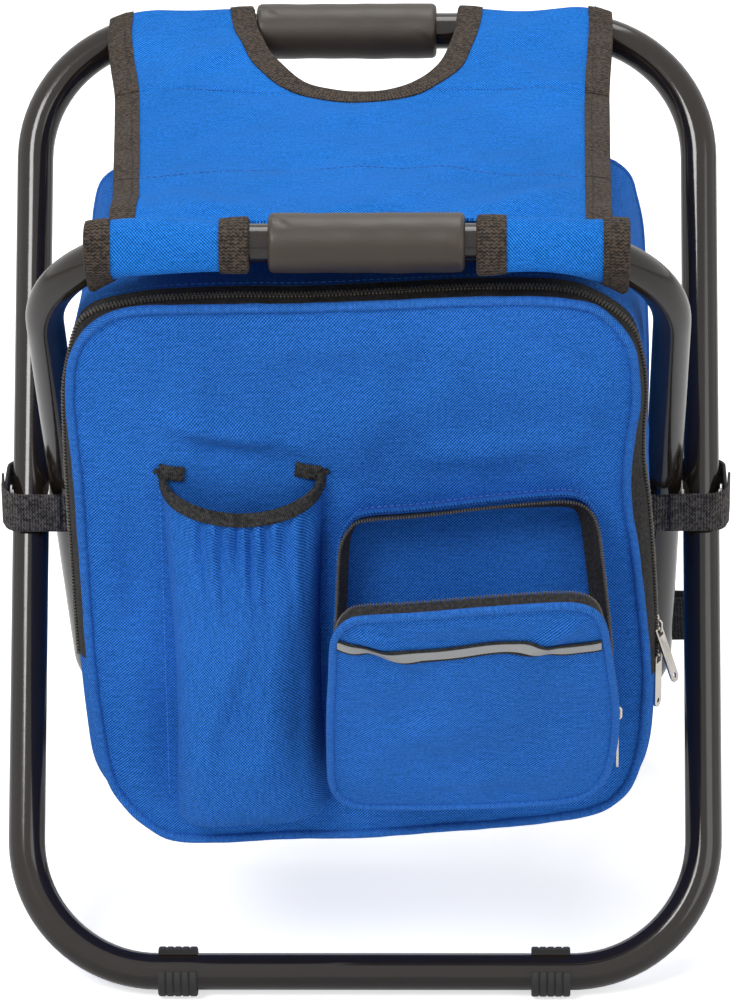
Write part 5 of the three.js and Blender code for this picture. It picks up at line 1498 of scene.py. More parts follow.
@dataclass
class BagShape:
    """The bag's outline at each depth, from the piping at the front to the back panel."""

    steps: int = 360
    middle: tuple[float, float] = (2.0, 228.0)
    piping_y: float = -138.0
    teeth_y: float = -124.3
    back_y: float = 31.9
    front: tuple[tuple[float, float], ...] = (
        (0.3, 90.4), (32.6, 93.2), (64.7, 95.9), (88.7, 98.7), (110.9, 103.1), (122.2, 110.2), (129.3, 121.1),
        (133.9, 139.6), (135.3, 157.5), (135.9, 175.2), (134.9, 193.3), (133.1, 210.9), (131.2, 228.3),
        (129.0, 246.1), (126.2, 263.3), (125.4, 280.4), (126.8, 299.0), (129.3, 317.3), (129.0, 330.1),
        (127.5, 342.7), (123.9, 351.8), (116.9, 360.4), (107.7, 366.9), (87.1, 370.0), (52.7, 370.1), (14.0, 368.4),
        (-25.5, 367.0), (-53.1, 366.8), (-76.1, 366.4), (-96.8, 366.1), (-107.2, 364.6), (-115.4, 361.5),
        (-122.5, 355.9), (-127.3, 349.6), (-131.1, 340.7), (-132.6, 330.5), (-133.0, 316.0), (-131.1, 286.1),
        (-130.4, 268.8), (-129.9, 251.6), (-129.3, 233.9), (-128.8, 216.4), (-128.2, 195.1), (-127.2, 177.5),
        (-125.9, 159.3), (-123.5, 137.7), (-120.0, 119.5), (-113.2, 106.9), (-103.9, 96.6), (-92.8, 89.3),
        (-78.4, 87.6), (-59.1, 88.2), (-34.9, 89.8))
    teeth: tuple[tuple[float, float], ...] = (
        (0.0, 89.5), (40.0, 91.5), (88.0, 95.0), (108.0, 98.5), (122.0, 106.0), (132.5, 118.0), (137.6, 132.0),
        (139.6, 150.0), (140.2, 174.3), (140.3, 187.7), (139.6, 209.0), (138.4, 230.2), (135.9, 261.7),
        (133.3, 282.5), (133.0, 300.0), (133.8, 318.5), (131.8, 336.4), (126.5, 351.6), (112.6, 362.8),
        (94.1, 369.6), (57.2, 370.5), (14.0, 368.4), (-25.9, 366.6), (-53.7, 366.7), (-90.7, 365.2),
        (-109.4, 362.2), (-120.0, 359.5), (-128.1, 353.7), (-132.3, 342.0), (-136.3, 321.6), (-136.8, 293.3),
        (-136.6, 272.5), (-135.8, 241.0), (-135.0, 209.3), (-134.1, 182.5), (-132.0, 150.0), (-129.0, 125.0),
        (-121.0, 110.0), (-110.0, 98.0), (-97.0, 90.0), (-80.0, 87.0), (-40.0, 88.0))
    back: tuple[tuple[float, float], ...] = (
        (0.0, 88.0), (40.0, 89.5), (75.0, 91.5), (97.0, 97.0), (117.0, 109.0), (130.0, 128.0), (135.5, 155.0),
        (138.0, 200.0), (139.2, 240.0), (139.3, 266.0), (138.7, 285.0), (138.1, 298.4), (136.5, 327.8),
        (135.2, 340.1), (132.6, 351.7), (130.1, 360.9), (125.1, 367.0), (118.0, 370.8), (100.0, 373.5),
        (60.0, 374.0), (0.0, 371.5), (-60.0, 370.0), (-100.0, 369.0), (-115.0, 367.8), (-123.3, 364.0),
        (-128.4, 357.7), (-131.2, 346.1), (-132.3, 336.5), (-134.4, 315.0), (-135.2, 290.0), (-135.5, 250.0),
        (-135.0, 205.0), (-134.0, 165.0), (-130.0, 132.0), (-118.0, 108.0), (-100.0, 94.5), (-70.0, 89.5),
        (-35.0, 88.0))

    def __post_init__(self) -> None:
        """Measures each outline along the same rays."""
        centre = np.array(self.middle)
        rim = evenly(spline(self.front, True), 400.0 / self.steps, True)
        marks = evenly(rim, self._length(rim) / self.steps, True)[: self.steps]
        self.rays = np.unwrap(np.arctan2(*(marks - centre).T[::-1]))
        self.radii = [self._radius(np.array(spline(rows, True))) for rows in (self.front, self.teeth, self.back)]

    @staticmethod
    def _length(path: Points) -> float:
        """Gives a closed path's length."""
        return float(np.linalg.norm(np.roll(path, -1, axis=0) - path, axis=1).sum())

    def _radius(self, outline: Points) -> Points:
        """Gives an outline's distance from the middle on every ray.

        Args:
            outline: Rows of x and z.

        Returns:
            One distance for each ray.
        """
        away = outline - np.array(self.middle)
        angle = np.arctan2(away[:, 1], away[:, 0])
        order = np.argsort(angle)
        return np.interp(self.rays, angle[order], np.linalg.norm(away, axis=1)[order], period=math.tau)

    def flat(self, y: float, inset: float = 0.0) -> Points:
        """Gives the outline's x and z at a depth.

        Args:
            y: The depth in millimetres.
            inset: How far inside the bag's skin it runs.

        Returns:
            One row for each ray, from the middle of the bottom round to the right.
        """
        if y < self.teeth_y:
            share = math.sin(0.5 * math.pi * max(0.0, (y - self.piping_y) / (self.teeth_y - self.piping_y)))
            radius = self.radii[0] + (self.radii[1] - self.radii[0]) * share
        else:
            start, share = smoothstep(self.teeth_y - 30.0, self.back_y, np.array([self.teeth_y, y]))
            share = (share - start) / (1.0 - start)
            radius = self.radii[1] + (self.radii[2] - self.radii[1]) * share
            radius = radius + 0.8 * math.sin(math.pi * (y - self.teeth_y) / (self.back_y - self.teeth_y))
        rows = np.array(self.middle) + radius[:, None] * np.stack([np.cos(self.rays), np.sin(self.rays)], axis=1)
        rows += outward(rows) * (self.slack(rows, y) - inset)[:, None]
        rim = self.limit(y, rows[:, 1]) - inset
        over = np.abs(rows[:, 0]) - rim
        rows[:, 0] = np.where(over > -3.0, np.sign(rows[:, 0]) * (rim - 3.0 * np.exp(-(over + 3.0) / 3.0)), rows[:, 0])
        return rows

    def slack(self, rows: Points, y: float) -> Points:
        """Gives the skin's unevenness, with soft folds at the sides and none at the zipper.

        Args:
            rows: The outline's x and z.
            y: Its depth.

        Returns:
            One rise for each row.
        """
        run = np.concatenate([[0.0], np.cumsum(np.linalg.norm(np.diff(rows, axis=0), axis=1))])
        spots = np.stack([run, np.full(len(run), y)], axis=1)
        calm = float(smoothstep(-116.0, -95.0, y) * (1.0 - smoothstep(18.0, 29.0, y)))
        creases = [Fold((130.0, -100.0), (215.0, -60.0), -1.6, 9.0), Fold((250.0, -105.0), (300.0, -30.0), -1.3, 10.0),
                   Fold((330.0, -95.0), (400.0, -70.0), 1.0, 12.0), Fold((720.0, -100.0), (800.0, -55.0), -1.4, 9.0),
                   Fold((640.0, -90.0), (690.0, -20.0), -1.2, 11.0), Fold((850.0, -100.0), (900.0, -40.0), -1.4, 10.0)]
        return ripple(spots, 45.0, 2.6, 21) * calm + 1.5 * folded(spots, creases) * calm - 0.9 * calm

    @staticmethod
    def limit(y: float, z: Points) -> Points:
        """Gives how far out the skin may reach where the inner legs sweep past it and under the side bands.

        Args:
            y: The depth.
            z: Heights.

        Returns:
            The largest x at each height.
        """
        rise = z - PIVOT_Z
        toward = -y * np.sign(rise)
        gap = np.maximum(0.0, np.maximum((toward - np.abs(rise) * math.tan(TILT)) * math.cos(TILT), -toward))
        leg = 136.6 + gap ** 2 / 60.0
        band = 133.4 + (max(0.0, abs(y) - 20.0) ** 2 + np.maximum(0.0, np.abs(z - PIVOT_Z) - 9.5) ** 2) / 30.0
        return np.minimum(leg, band)

    def ring(self, y: float, inset: float = 0.0) -> Points:
        """Gives the outline as points in space."""
        return at_depth(self.flat(y, inset), y)


@dataclass
class CoolerBag:
    """The bag's gusset, back, zipper, front panel and insulation."""

    shop: Workshop
    shape: BagShape
    cloth: float = 1.6
    left_end: float = 180.0
    right_end: float = 172.0
    gusset_front: float = -112.7
    tape_front: float = -135.7
    coil_middle: float = -124.35
    tooth_pitch: float = 1.7
    tub_front: float = -129.0
    tub_back: float = 29.4

    def __post_init__(self) -> None:
        """Finds the rays between which the zipper runs."""
        line = self.shape.flat(self.coil_middle)
        past = ((line[:, 0] > 0) & (line[:, 1] >= self.right_end)) | ((line[:, 0] < 0) & (line[:, 1] >= self.left_end))
        self.first = int(np.argmax(past))
        self.last = len(past) - int(np.argmax(past[::-1]))

    def zipped(self, ring: Points) -> Points:
        """Keeps the part of a ring along the zipper."""
        return ring[self.first:self.last]

    def below(self, ring: Points) -> Points:
        """Keeps the part of a ring under the zipper's ends."""
        return np.vstack([ring[self.last - 1:], ring[:self.first + 1]])

    def build(self) -> None:
        """Makes and dresses all pieces."""
        self.skin()
        self.zipper()
        self.panel()
        self.insulation()

    def skin(self) -> None:
        """Makes the gusset, its front lip at the bottom and the back panel."""
        depth = np.linspace(self.gusset_front, 30.0, 44)
        half = self.cloth / 2
        rings = np.array([self.shape.ring(y, half) for y in depth])
        gusset = shell("bag_side_cloth", rings, self.cloth, "bag_twill", True)
        self.shop.ride(gusset, "bag", "bag_fabric", "bag_gusset")
        lip = np.array([self.below(self.shape.ring(y, half))
                        for y in np.linspace(self.gusset_front + 0.4, -136.8, 14)])
        front = shell("bag_lower_lip", lip, self.cloth, "bag_twill")
        self.shop.blend(front, ("bag", "lid"), (0.0, -113.5, 228.0), (0.0, -136.0, 228.0), "bag_fabric")
        back = slab("bag_back_cloth", self.shape.flat(self.shape.back_y, 0.4), 30.1, self.shape.back_y,
                    "bag_twill_front", 0.9)
        self.shop.ride(back, "bag", "bag_fabric", "bag_back_panel")
        welt = swept("bag_back_welt", self.shape.ring(30.6, 0.2), circle(1.5, 10), INWARDS, "welt_twill", True)
        self.shop.ride(welt, "bag", "bag_fabric")
        for name, y, look in (("bag_hem_row", -109.5, "blue_thread"), ("bag_hem_row_two", -113.8, "dark_thread")):
            ring = self.shape.ring(y, -0.1)
            facing = at_depth(outward(ring[:, [0, 2]]), 0.0)
            row = self.shop.stitches(name, ring, facing, look, 3.2, SEAM_STITCH, True)
            self.shop.ride(row, "bag", "bag_fabric")

    def zipper(self) -> None:
        """Makes both tapes, both rows of teeth and their cores."""
        rows = (("main_tape_rear", -113.0, -122.2, "bag", "zip_tape_rear"),
                ("main_tape_front", self.tape_front - 0.6, -126.4, "lid", "zip_tape_front"))
        for name, start, end, body, node in rows:
            grid = np.array([self.zipped(self.shape.ring(y, 0.5)) for y in np.linspace(start, end, 5)])
            self.shop.ride(shell(name, grid, 1.1, "zip_tape"), body, "zip_tape", node)
        for name, y, body, node, shift in (("main_teeth_rear", -123.1, "bag", "zip_coil_rear", 0.0),
                                           ("main_teeth_front", -125.5, "lid", "zip_coil_front", 0.5)):
            line = self.zipped(self.shape.ring(y, -0.5))
            path = evenly(line, self.tooth_pitch)
            path = path + shift * np.diff(path, axis=0, append=path[-1:])
            facing = evenly(at_depth(self.zipped(outward(self.shape.flat(y))), 0.0), 1.0)
            marks, known = np.linspace(0, 1, len(path)), np.linspace(0, 1, len(facing))
            facing = np.stack([np.interp(marks, known, facing[:, k]) for k in range(3)], axis=1)
            teeth = self.shop.along_path.piece(name, path, tangents(path, False), unit(facing), (1.2, 3.1, 2.4),
                                               "zip_teeth", True, 3)
            self.shop.ride(teeth, body, "zip_coil", node)
            cord = swept(name + "_core", line, circle(0.75, 6), INWARDS, "zip_tape")
            self.shop.ride(cord, body, "zip_coil")

    def panel(self) -> None:
        """Makes the front panel with its piping."""
        rim = self.shape.flat(self.shape.piping_y)
        number = np.arange(len(rim))
        uneven = 1.0 + 0.05 * np.sin(number * 0.9) * np.sin(number * 0.23)
        piping = swept("front_welt", at_depth(rim, self.shape.piping_y - 0.5), circle(2.2, 14), INWARDS, "welt_twill",
                       True, uneven)
        self.shop.ride(piping, "lid", "bag_fabric", "front_piping")
        flat = rim - outward(rim) * 0.9
        cloth = pattern_piece("front_cloth", flat, self.face, self.cloth, "bag_twill", 3.4)
        self.shop.ride(cloth, "lid", "bag_fabric", "front_panel")

    def face(self, flat: Points) -> Points:
        """Lays the front panel's pattern out, with its folds above and beside the pockets.

        Args:
            flat: Rows of x and z.

        Returns:
            Rows of points in space.
        """
        rim = self.shape.flat(self.shape.piping_y)
        away = edge_distance(flat, rim)
        calm = smoothstep(0.0, 22.0, away)
        covered = smoothstep(-22.0, -12.0, flat[:, 0]) * (1.0 - smoothstep(276.0, 292.0, flat[:, 1]))
        folds = [Fold((-88.0, 311.0), (-36.0, 297.0), 5.0, 6.5), Fold((-80.0, 300.0), (-24.0, 288.0), -3.2, 5.5),
                 Fold((-20.0, 300.0), (60.0, 330.0), 1.8, 14.0), Fold((-122.0, 250.0), (-100.0, 150.0), 2.2, 8.0),
                 Fold((-104.0, 290.0), (-112.0, 190.0), -1.6, 7.0), Fold((-116.0, 330.0), (-84.0, 290.0), 1.8, 8.0),
                 Fold((20.0, 290.0), (104.0, 300.0), 2.2, 7.0), Fold((-60.0, 345.0), (40.0, 352.0), 1.6, 10.0),
                 Fold((96.0, 286.0), (118.0, 340.0), 2.2, 7.0), Fold((78.0, 352.0), (118.0, 330.0), -1.6, 6.0),
                 Fold((-16.0, 280.0), (-12.0, 200.0), -0.8, 5.0), Fold((-112.0, 130.0), (-96.0, 108.0), 2.0, 7.0),
                 Fold((20.0, 108.0), (100.0, 116.0), -1.4, 6.0)]
        rise = (ripple(flat, 44.0, 3.0, 31) + 1.25 * folded(flat, folds)) * calm
        rise = rise * (1.0 - 0.94 * covered) + calm - 1.5 * np.exp(-((away - 3.0) / 1.7) ** 2)
        rise = np.where(rise < 0.0, -1.6 * (1.0 - np.exp(rise / 1.6)), rise)
        return np.stack([flat[:, 0], self.shape.piping_y - 0.2 - rise, flat[:, 1]], axis=1)

    def insulation(self) -> None:
        """Makes the foam tub, the foil liner and the layers behind the front panel."""
        for name, node, look, slot, out, within, back in (
                ("foam_tub", "insulation_foam", "white_foam", "white_foam", 2.6, 6.9, 24.6),
                ("foil_tub", "foil_liner", "foil", "silver_foil", 7.2, 7.9, 23.4)):
            depths = np.linspace(self.tub_front, back, 26)
            rings = [self.shape.ring(y, within) for y in depths[::-1]]
            outer_back = self.tub_back if node == "insulation_foam" else back + 0.6
            rings += [self.shape.ring(y, out) for y in np.linspace(self.tub_front, outer_back, 26)]
            self.shop.ride(ring_piece(name, rings, look, False, CUT_EDGE), "bag", slot, node)
        for name, node, look, slot, front, back in (
                ("front_foam_sheet", "lid_foam", "white_foam", "white_foam", -135.6, -132.1),
                ("front_foil_sheet", "lid_foil", "foil", "silver_foil", -131.8, -131.2)):
            outline = self.shape.flat(self.shape.piping_y, 5.0)
            self.shop.ride(slab(name, outline, front, back, look, 0.2), "lid", slot, node)


@dataclass
class BottlePocket:
    """The open pocket with an elastic edge."""

    shop: Workshop
    panel: Surface
    centre: float = -54.0
    half: float = 36.2
    foot_z: float = 108.1
    height: float = 170.0
    deep: float = 27.0
    mouth: float = 15.0
    sag: float = 11.0
    gathers: float = 9.0
    panel_y: float = -139.6

    def place(self, across: Points, rise: Points, gathered: float = 1.0) -> Points:
        """Gives the pocket's skin.

        Args:
            across: Shares across the pocket, from -1 to 1.
            rise: Shares of its height, from 0 at the foot to 1 at the elastic edge.
            gathered: How far the elastic gathers the cloth, from 0 to 1.

        Returns:
            Points in space.
        """
        bulge = self.deep + (self.mouth - self.deep) * rise ** 2
        foot = np.clip(rise / 0.2, 0.0, 1.0) ** 0.3
        side = np.sqrt(np.clip(1.0 - np.abs(across) ** 5, 0.0, 1.0))
        pleat = np.sin(across * self.gathers * math.pi + 0.9 * np.sin(rise * 9.0) + 1.3 * np.sin(across * 5.0))
        reach = smoothstep(0.66 - 0.14 * np.sin(across * 11.0), 0.95, rise)
        reach = reach * (1.0 - 0.6 * smoothstep(0.965, 0.995, rise))
        wave = (pleat + 0.4 * np.abs(pleat)) * 2.1 * reach * (1.0 - across ** 4) * gathered
        flat = np.stack([across.ravel() * self.half, rise.ravel() * self.height], axis=1)
        folds = [Fold((-30.0, 20.0), (6.0, 128.0), 3.2, 6.0), Fold((-26.0, 60.0), (-30.0, 150.0), -2.6, 5.0),
                 Fold((8.0, 30.0), (22.0, 138.0), 2.4, 7.0), Fold((-8.0, 10.0), (-20.0, 90.0), -1.8, 6.0),
                 Fold((24.0, 20.0), (30.0, 110.0), -2.2, 5.0), Fold((-32.0, 14.0), (28.0, 10.0), 1.4, 7.0)]
        slump = (ripple(flat, 34.0, 2.4, 61) + folded(flat, folds)).reshape(across.shape) * foot * gathered
        drop = self.sag * (1.0 - across ** 2) * rise ** 2
        hang = 8.0 * np.exp(-(rise / 0.1) ** 2) * side * np.clip(rise / 0.02, 0.0, 1.0)
        narrow = self.half * (1.0 - 0.07 * np.sin(np.clip(rise * 1.15, 0.0, 1.0) * math.pi))
        x = self.centre + narrow * across + 2.0 * (1.0 - rise)
        y = self.panel_y - (bulge + wave + slump * np.clip(1.2 - rise, 0.0, 1.0)) * foot * side
        z = self.foot_z + 3.0 * across * (1.0 - rise) + self.height * rise - drop - hang
        return np.stack([x, y, z], axis=-1)

    def build(self) -> None:
        """Makes and dresses the pocket."""
        across = np.sin(np.linspace(-0.5, 0.5, 97) * math.pi)
        rise = np.linspace(0.0, 1.0, 84) ** 1.7
        grid = self.place(*np.meshgrid(across, rise))
        cloth = shell("bottle_pocket_cloth", grid, 1.2, "bag_twill")
        self.shop.ride(cloth, "lid", "bag_fabric", "bottle_pocket")
        edge = self.place(across, np.ones_like(across), 0.0)
        edge[:, 1] -= 2.0
        ends = [[(x + side * out, y, z + rise) for out, y, rise in ((2.0, -140.6, 8.5), (1.5, -140.9, 4.0))]
                for side, (x, _, z) in ((-1.0, edge[0]), (1.0, edge[-1]))]
        path = evenly(spline([*ends[0], *edge[6:-6:7], *ends[1][::-1]], False, 6), 1.6)
        band = swept("bottle_pocket_band", path, tape(7.4, 2.4), UPWARDS, "elastic_tape")
        self.shop.ride(band, "lid", "trim_webbing", "bottle_pocket_elastic")
        for label, x, z in (("left", -92.6, 284.8), ("right", -29.0, 284.6)):
            line = self.panel(np.array([(x, z + 0.8), (x + 4.0, z + 0.3), (x + 8.0, z), (x + 12.0, z - 0.4)]))
            line[:, 1] -= (1.4, 1.9, 2.1, 1.6)
            tab = swept(f"bottle_pocket_end_{label}", evenly(line, 1.5), tape(7.6, 1.4), UPWARDS, "elastic_tape")
            self.shop.ride(tab, "lid", "trim_webbing")
        along = tangents(path, False)
        up = unit(UPWARDS - along * along[:, 2:3])
        front = np.cross(up, along)
        front *= np.sign(-front[:, 1:2])
        for number, lift in enumerate((-2.2, 0.0, 2.2)):
            row = self.shop.stitches(f"bottle_pocket_row_{number}", path + up * lift + front * 1.25, front,
                                     "dark_thread", 2.4, (1.7, 0.5, 0.35))
            self.shop.ride(row, "lid", "trim_webbing")
        for label, x, low in (("left", -92.3, 114.0), ("right", -18.2, 122.0)):
            z = np.linspace(low, 281.0, 70)
            line = self.panel(np.stack([np.full_like(z, x), z], axis=1)) - [0.0, 0.85, 0.0]
            row = self.shop.stitches(f"bottle_pocket_side_{label}", line, np.tile(-INWARDS, (len(z), 1)),
                                     "blue_thread", 3.0, SEAM_STITCH)
            self.shop.ride(row, "lid", "bag_fabric")


@dataclass
class ZipPocket:
    """The pocket with a zipper round three sides, whose front flap hangs partly open."""

    shop: Workshop
    rim: tuple[tuple[float, float], ...] = (
        (-12.0, 181.0), (-12.2, 149.0), (-9.6, 137.2), (-4.2, 130.6), (4.0, 128.2), (33.1, 128.0), (64.8, 129.4),
        (94.0, 132.6), (106.0, 137.6), (112.6, 146.3), (116.4, 160.0), (118.6, 180.0), (118.6, 205.0), (116.0, 232.5),
        (114.0, 250.0), (111.9, 265.0), (107.6, 274.0), (99.5, 277.9), (84.8, 277.6), (57.1, 274.6), (29.3, 270.9),
        (3.0, 268.4), (-3.6, 264.2), (-7.8, 256.1), (-9.2, 245.0), (-10.0, 227.4), (-11.3, 205.0))
    hinge_y: float = -160.7
    hinge_z: float = 127.09
    opened: float = 24.5
    pad_y: float = -170.2
    tooth_pitch: float = 1.3

    def __post_init__(self) -> None:
        """Spaces the outline's points and finds where the zipper runs."""
        self.outline = evenly(spline(self.rim, True), 2.4, True)
        self.sides = outward(self.outline)
        high = self.outline[:, 1] > self.hinge_z + 12.0
        start = int(np.argmax(~high))
        rolled = np.roll(high, -start)
        first = start + int(np.argmax(rolled))
        self.run = np.arange(first, first + int(high.sum())) % len(self.outline)

    def ring(self, y: float, grow: float | Points = 0.0) -> Points:
        """Gives the outline at a depth, grown by one width or by one for each point."""
        return at_depth(self.outline + self.sides * grow, y)

    def turned(self, points: Points) -> Points:
        """Turns points of the closed flap to where it hangs.

        Args:
            points: Rows of points.

        Returns:
            The turned rows.
        """
        a = math.radians(self.opened)
        y, z = points[..., 1] - self.hinge_y, points[..., 2] - self.hinge_z
        out = points.copy()
        out[..., 1] = self.hinge_y + y * math.cos(a) - z * math.sin(a)
        out[..., 2] = self.hinge_z + y * math.sin(a) + z * math.cos(a)
        return out

    def build(self) -> None:
        """Makes and dresses the pocket and its flap."""
        walls = ((-139.3, -3.0), (-142.0, -2.2), (-146.0, -0.9), (-149.5, -0.3), (-152.6, 0.0))
        rings = np.array([self.ring(y, grow - 0.6) for y, grow in walls])
        # The inner wall is dressed in a darker copy of the bag's blue, as painted shade inside the pocket.
        gusset = shell("zip_pocket_wall", rings, 1.2, "pocket_twill_shaded", True)
        self.shop.ride(gusset, "lid", "pocket_lining", "zip_pocket_gusset")
        lip = [self.ring(y, g + 0.15) for y, g in ((-148.8, -0.4), (-150.8, 0.0), (-152.8, 0.3))]
        self.shop.ride(shell("zip_pocket_edge", np.array(lip), 0.9, "bag_twill", True), "lid", "bag_fabric")
        facing = at_depth(self.sides, 0.0)[self.run]
        for number, (y, grow) in enumerate(((-143.4, -1.6), (-148.4, -0.25))):
            row = self.shop.stitches(f"zip_pocket_row_{number}", self.ring(y, grow)[self.run], facing,
                                     "blue_thread", 3.0, (2.2, 0.6, 0.5))
            self.shop.ride(row, "lid", "bag_fabric")
        inward = 4.2 + 3.8 * smoothstep(20.0, 110.0, self.outline[:, 0])[:, None]
        slant = ((-147.6, 1.0), (-151.0, 0.72), (-155.0, 0.3), (-158.9, 0.0))
        rings = np.array([self.ring(y, -0.3 - share * inward) for y, share in slant])
        self.shop.ride(shell("pocket_tape", rings, 1.0, "zip_tape", True), "lid", "zip_tape", "zip_pocket_tape")
        self.teeth("pocket_teeth", -159.8, "lid", "zip_pocket_coil", False)
        self.flap()

    def teeth(self, name: str, y: float, body: str, node: str, turned: bool) -> None:
        """Sets a row of teeth along the three opening sides.

        Args:
            name: The piece's name.
            y: The row's depth.
            body: The body that it rides on.
            node: The CAD node that it stands for.
            turned: Whether it belongs to the open flap.
        """
        facing = at_depth(self.sides, 0.0)[self.run]
        both = evenly(np.hstack([self.ring(y, -0.2)[self.run], facing * 0.001]), self.tooth_pitch)
        path, normal = both[:, :3], both[:, 3:] * 1000.0
        if turned:
            ends = self.turned(path + normal)
            path = self.turned(path)
            normal = ends - path
        teeth = self.shop.along_path.piece(name, path, tangents(path, False), unit(normal), (0.95, 1.95, 1.7),
                                           "zip_teeth", True, 5)
        self.shop.ride(teeth, body, "zip_coil", node)

    def flap(self) -> None:
        """Makes the flap's tape, piping, puffed panel and reflective stripe."""
        rings = self.turned(np.array([self.ring(y, -0.4) for y in (-162.9, -164.5, -166.5, -169.4)]))
        wall = shell("flap_tape_wall", rings, 1.0, "zip_tape", True)
        self.shop.ride(wall, "pocket_flap", "zip_tape", "flap_tape")
        self.teeth("flap_teeth", -162.0, "pocket_flap", "flap_coil", True)
        welt = self.turned(self.ring(-170.9, 0.9))
        axis = self.turned(-INWARDS[None]) - self.turned(np.zeros((1, 3)))
        piping = swept("flap_welt", welt, circle(1.9, 12), axis[0], "welt_twill", True)
        self.shop.ride(piping, "pocket_flap", "bag_fabric", "flap_piping")
        flat = self.outline - self.sides * 0.4
        cloth = pattern_piece("flap_cloth", flat, self.face, 1.4, "bag_twill", 2.8)
        self.shop.ride(cloth, "pocket_flap", "bag_fabric", "flap_panel")
        self.stripe()

    def face(self, flat: Points) -> Points:
        """Lays the flap's pattern out as a soft pad, in its open place.

        Args:
            flat: Rows of x and z.

        Returns:
            Rows of points in space.
        """
        away = edge_distance(flat, self.outline)
        puff = 2.6 * (1.0 - np.exp(-away / 9.0))
        folds = [Fold((-5.0, 266.0), (30.0, 240.0), 3.0, 5.0), Fold((106.0, 272.0), (72.0, 244.0), 3.0, 4.5),
                 Fold((-2.0, 258.0), (16.0, 236.0), -1.6, 5.0), Fold((8.0, 150.0), (34.0, 205.0), 1.8, 9.0),
                 Fold((104.0, 150.0), (86.0, 200.0), 1.8, 9.0), Fold((20.0, 254.0), (88.0, 258.0), -2.0, 8.0),
                 Fold((30.0, 138.0), (80.0, 140.0), -1.2, 6.0)]
        soft = (ripple(flat, 40.0, 2.2, 41) + folded(flat, folds)) * smoothstep(1.0, 14.0, away)
        closed = np.stack([flat[:, 0], self.pad_y - puff - soft, flat[:, 1]], axis=1)
        return self.turned(closed)

    def stripe(self) -> None:
        """Sews the grey reflective stripe with its black borders across the flap."""
        x = np.linspace(-7.6, 112.0, 130)
        line = spline([(-7.6, 252.0), (5.7, 249.3), (20.5, 247.3), (35.2, 245.7), (53.0, 248.7), (70.7, 252.0),
                       (82.5, 253.0), (94.3, 250.3), (112.0, 252.0)], False)
        wave = np.interp(x, line[:, 0], line[:, 1])
        for name, half, proud, look, slot, nodes in (
                ("stripe_border", 3.7, 1.6, "stripe_edge", "trim_webbing", ()),
                ("stripe_grey", 2.2, 2.0, "reflective_tape", "grey_reflector", ("reflective_stripe",))):
            rows = []
            for lift in np.linspace(-half, half, 5):
                spots = np.stack([x, wave + lift], axis=1)
                rows.append(self.face(spots) + normals_of(self.face, spots) * proud)
            self.shop.ride(shell(name, np.array(rows), 0.5, look), "pocket_flap", slot, *nodes)


def bevelled(node: str, look: str, edge: float, shift: Sequence[float] = (0.0, 0.0, 0.0)) -> Piece:
    """Copies a CAD node with its edges rounded off.

    Args:
        node: The CAD node.
        look: The finish's name.
        edge: The rounding's width in millimetres.
        shift: A small move in millimetres that sets it on the soft bag's skin.

    Returns:
        The rounded copy.
    """
    mesh = FRAME["nodes"][node].data.copy()
    mesh.transform(FRAME["nodes"][node].matrix_world)
    mesh.transform(Matrix.Translation(Vector(shift) * MM))
    work = bmesh.new()
    work.from_mesh(mesh)
    bmesh.ops.remove_doubles(work, verts=work.verts, dist=1e-6)
    bmesh.ops.dissolve_limit(work, angle_limit=math.radians(1.0), verts=work.verts, edges=work.edges)
    work.to_mesh(mesh)
    work.free()
    mesh.materials.clear()
    mesh.materials.append(finish(look))
    rough = placed(node + "_rough", mesh)
    rounding = rough.modifiers.new("edge", "BEVEL")
    rounding.width = edge * MM
    rounding.segments = 2
    rounding.limit_method = "ANGLE"
    rounding.angle_limit = math.radians(35.0)
    made = plain_mesh(rough)
    made.polygons.foreach_set("use_smooth", [True] * len(made.polygons))
    made.set_sharp_from_angle(angle=math.radians(40.0))
    return placed(node + "_finished", made)


@dataclass
class ZipHardware:
    """Sliders and pull tabs."""

    shop: Workshop
    main_shift: tuple[float, float, float] = (2.6, 0.0, 0.0)

    def build(self) -> None:
        """Makes and dresses all metal pieces."""
        for node in ("main_slider_lower", "main_slider_upper", "main_pull_lower", "main_pull_upper"):
            self.shop.ride(bevelled(node, "nickel", 0.22, self.main_shift), node, "nickel", node)
        for node in ("pocket_slider", "pocket_pull"):
            self.shop.ride(bevelled(node, "nickel", 0.2), node, "nickel", node)


def between(first: Points, last: Points, start: float, end: float, at: float) -> Points:
    """Mixes two points by how far a place has come from start to end."""
    return (end - at) / (end - start) * first + (at - start) / (end - start) * last


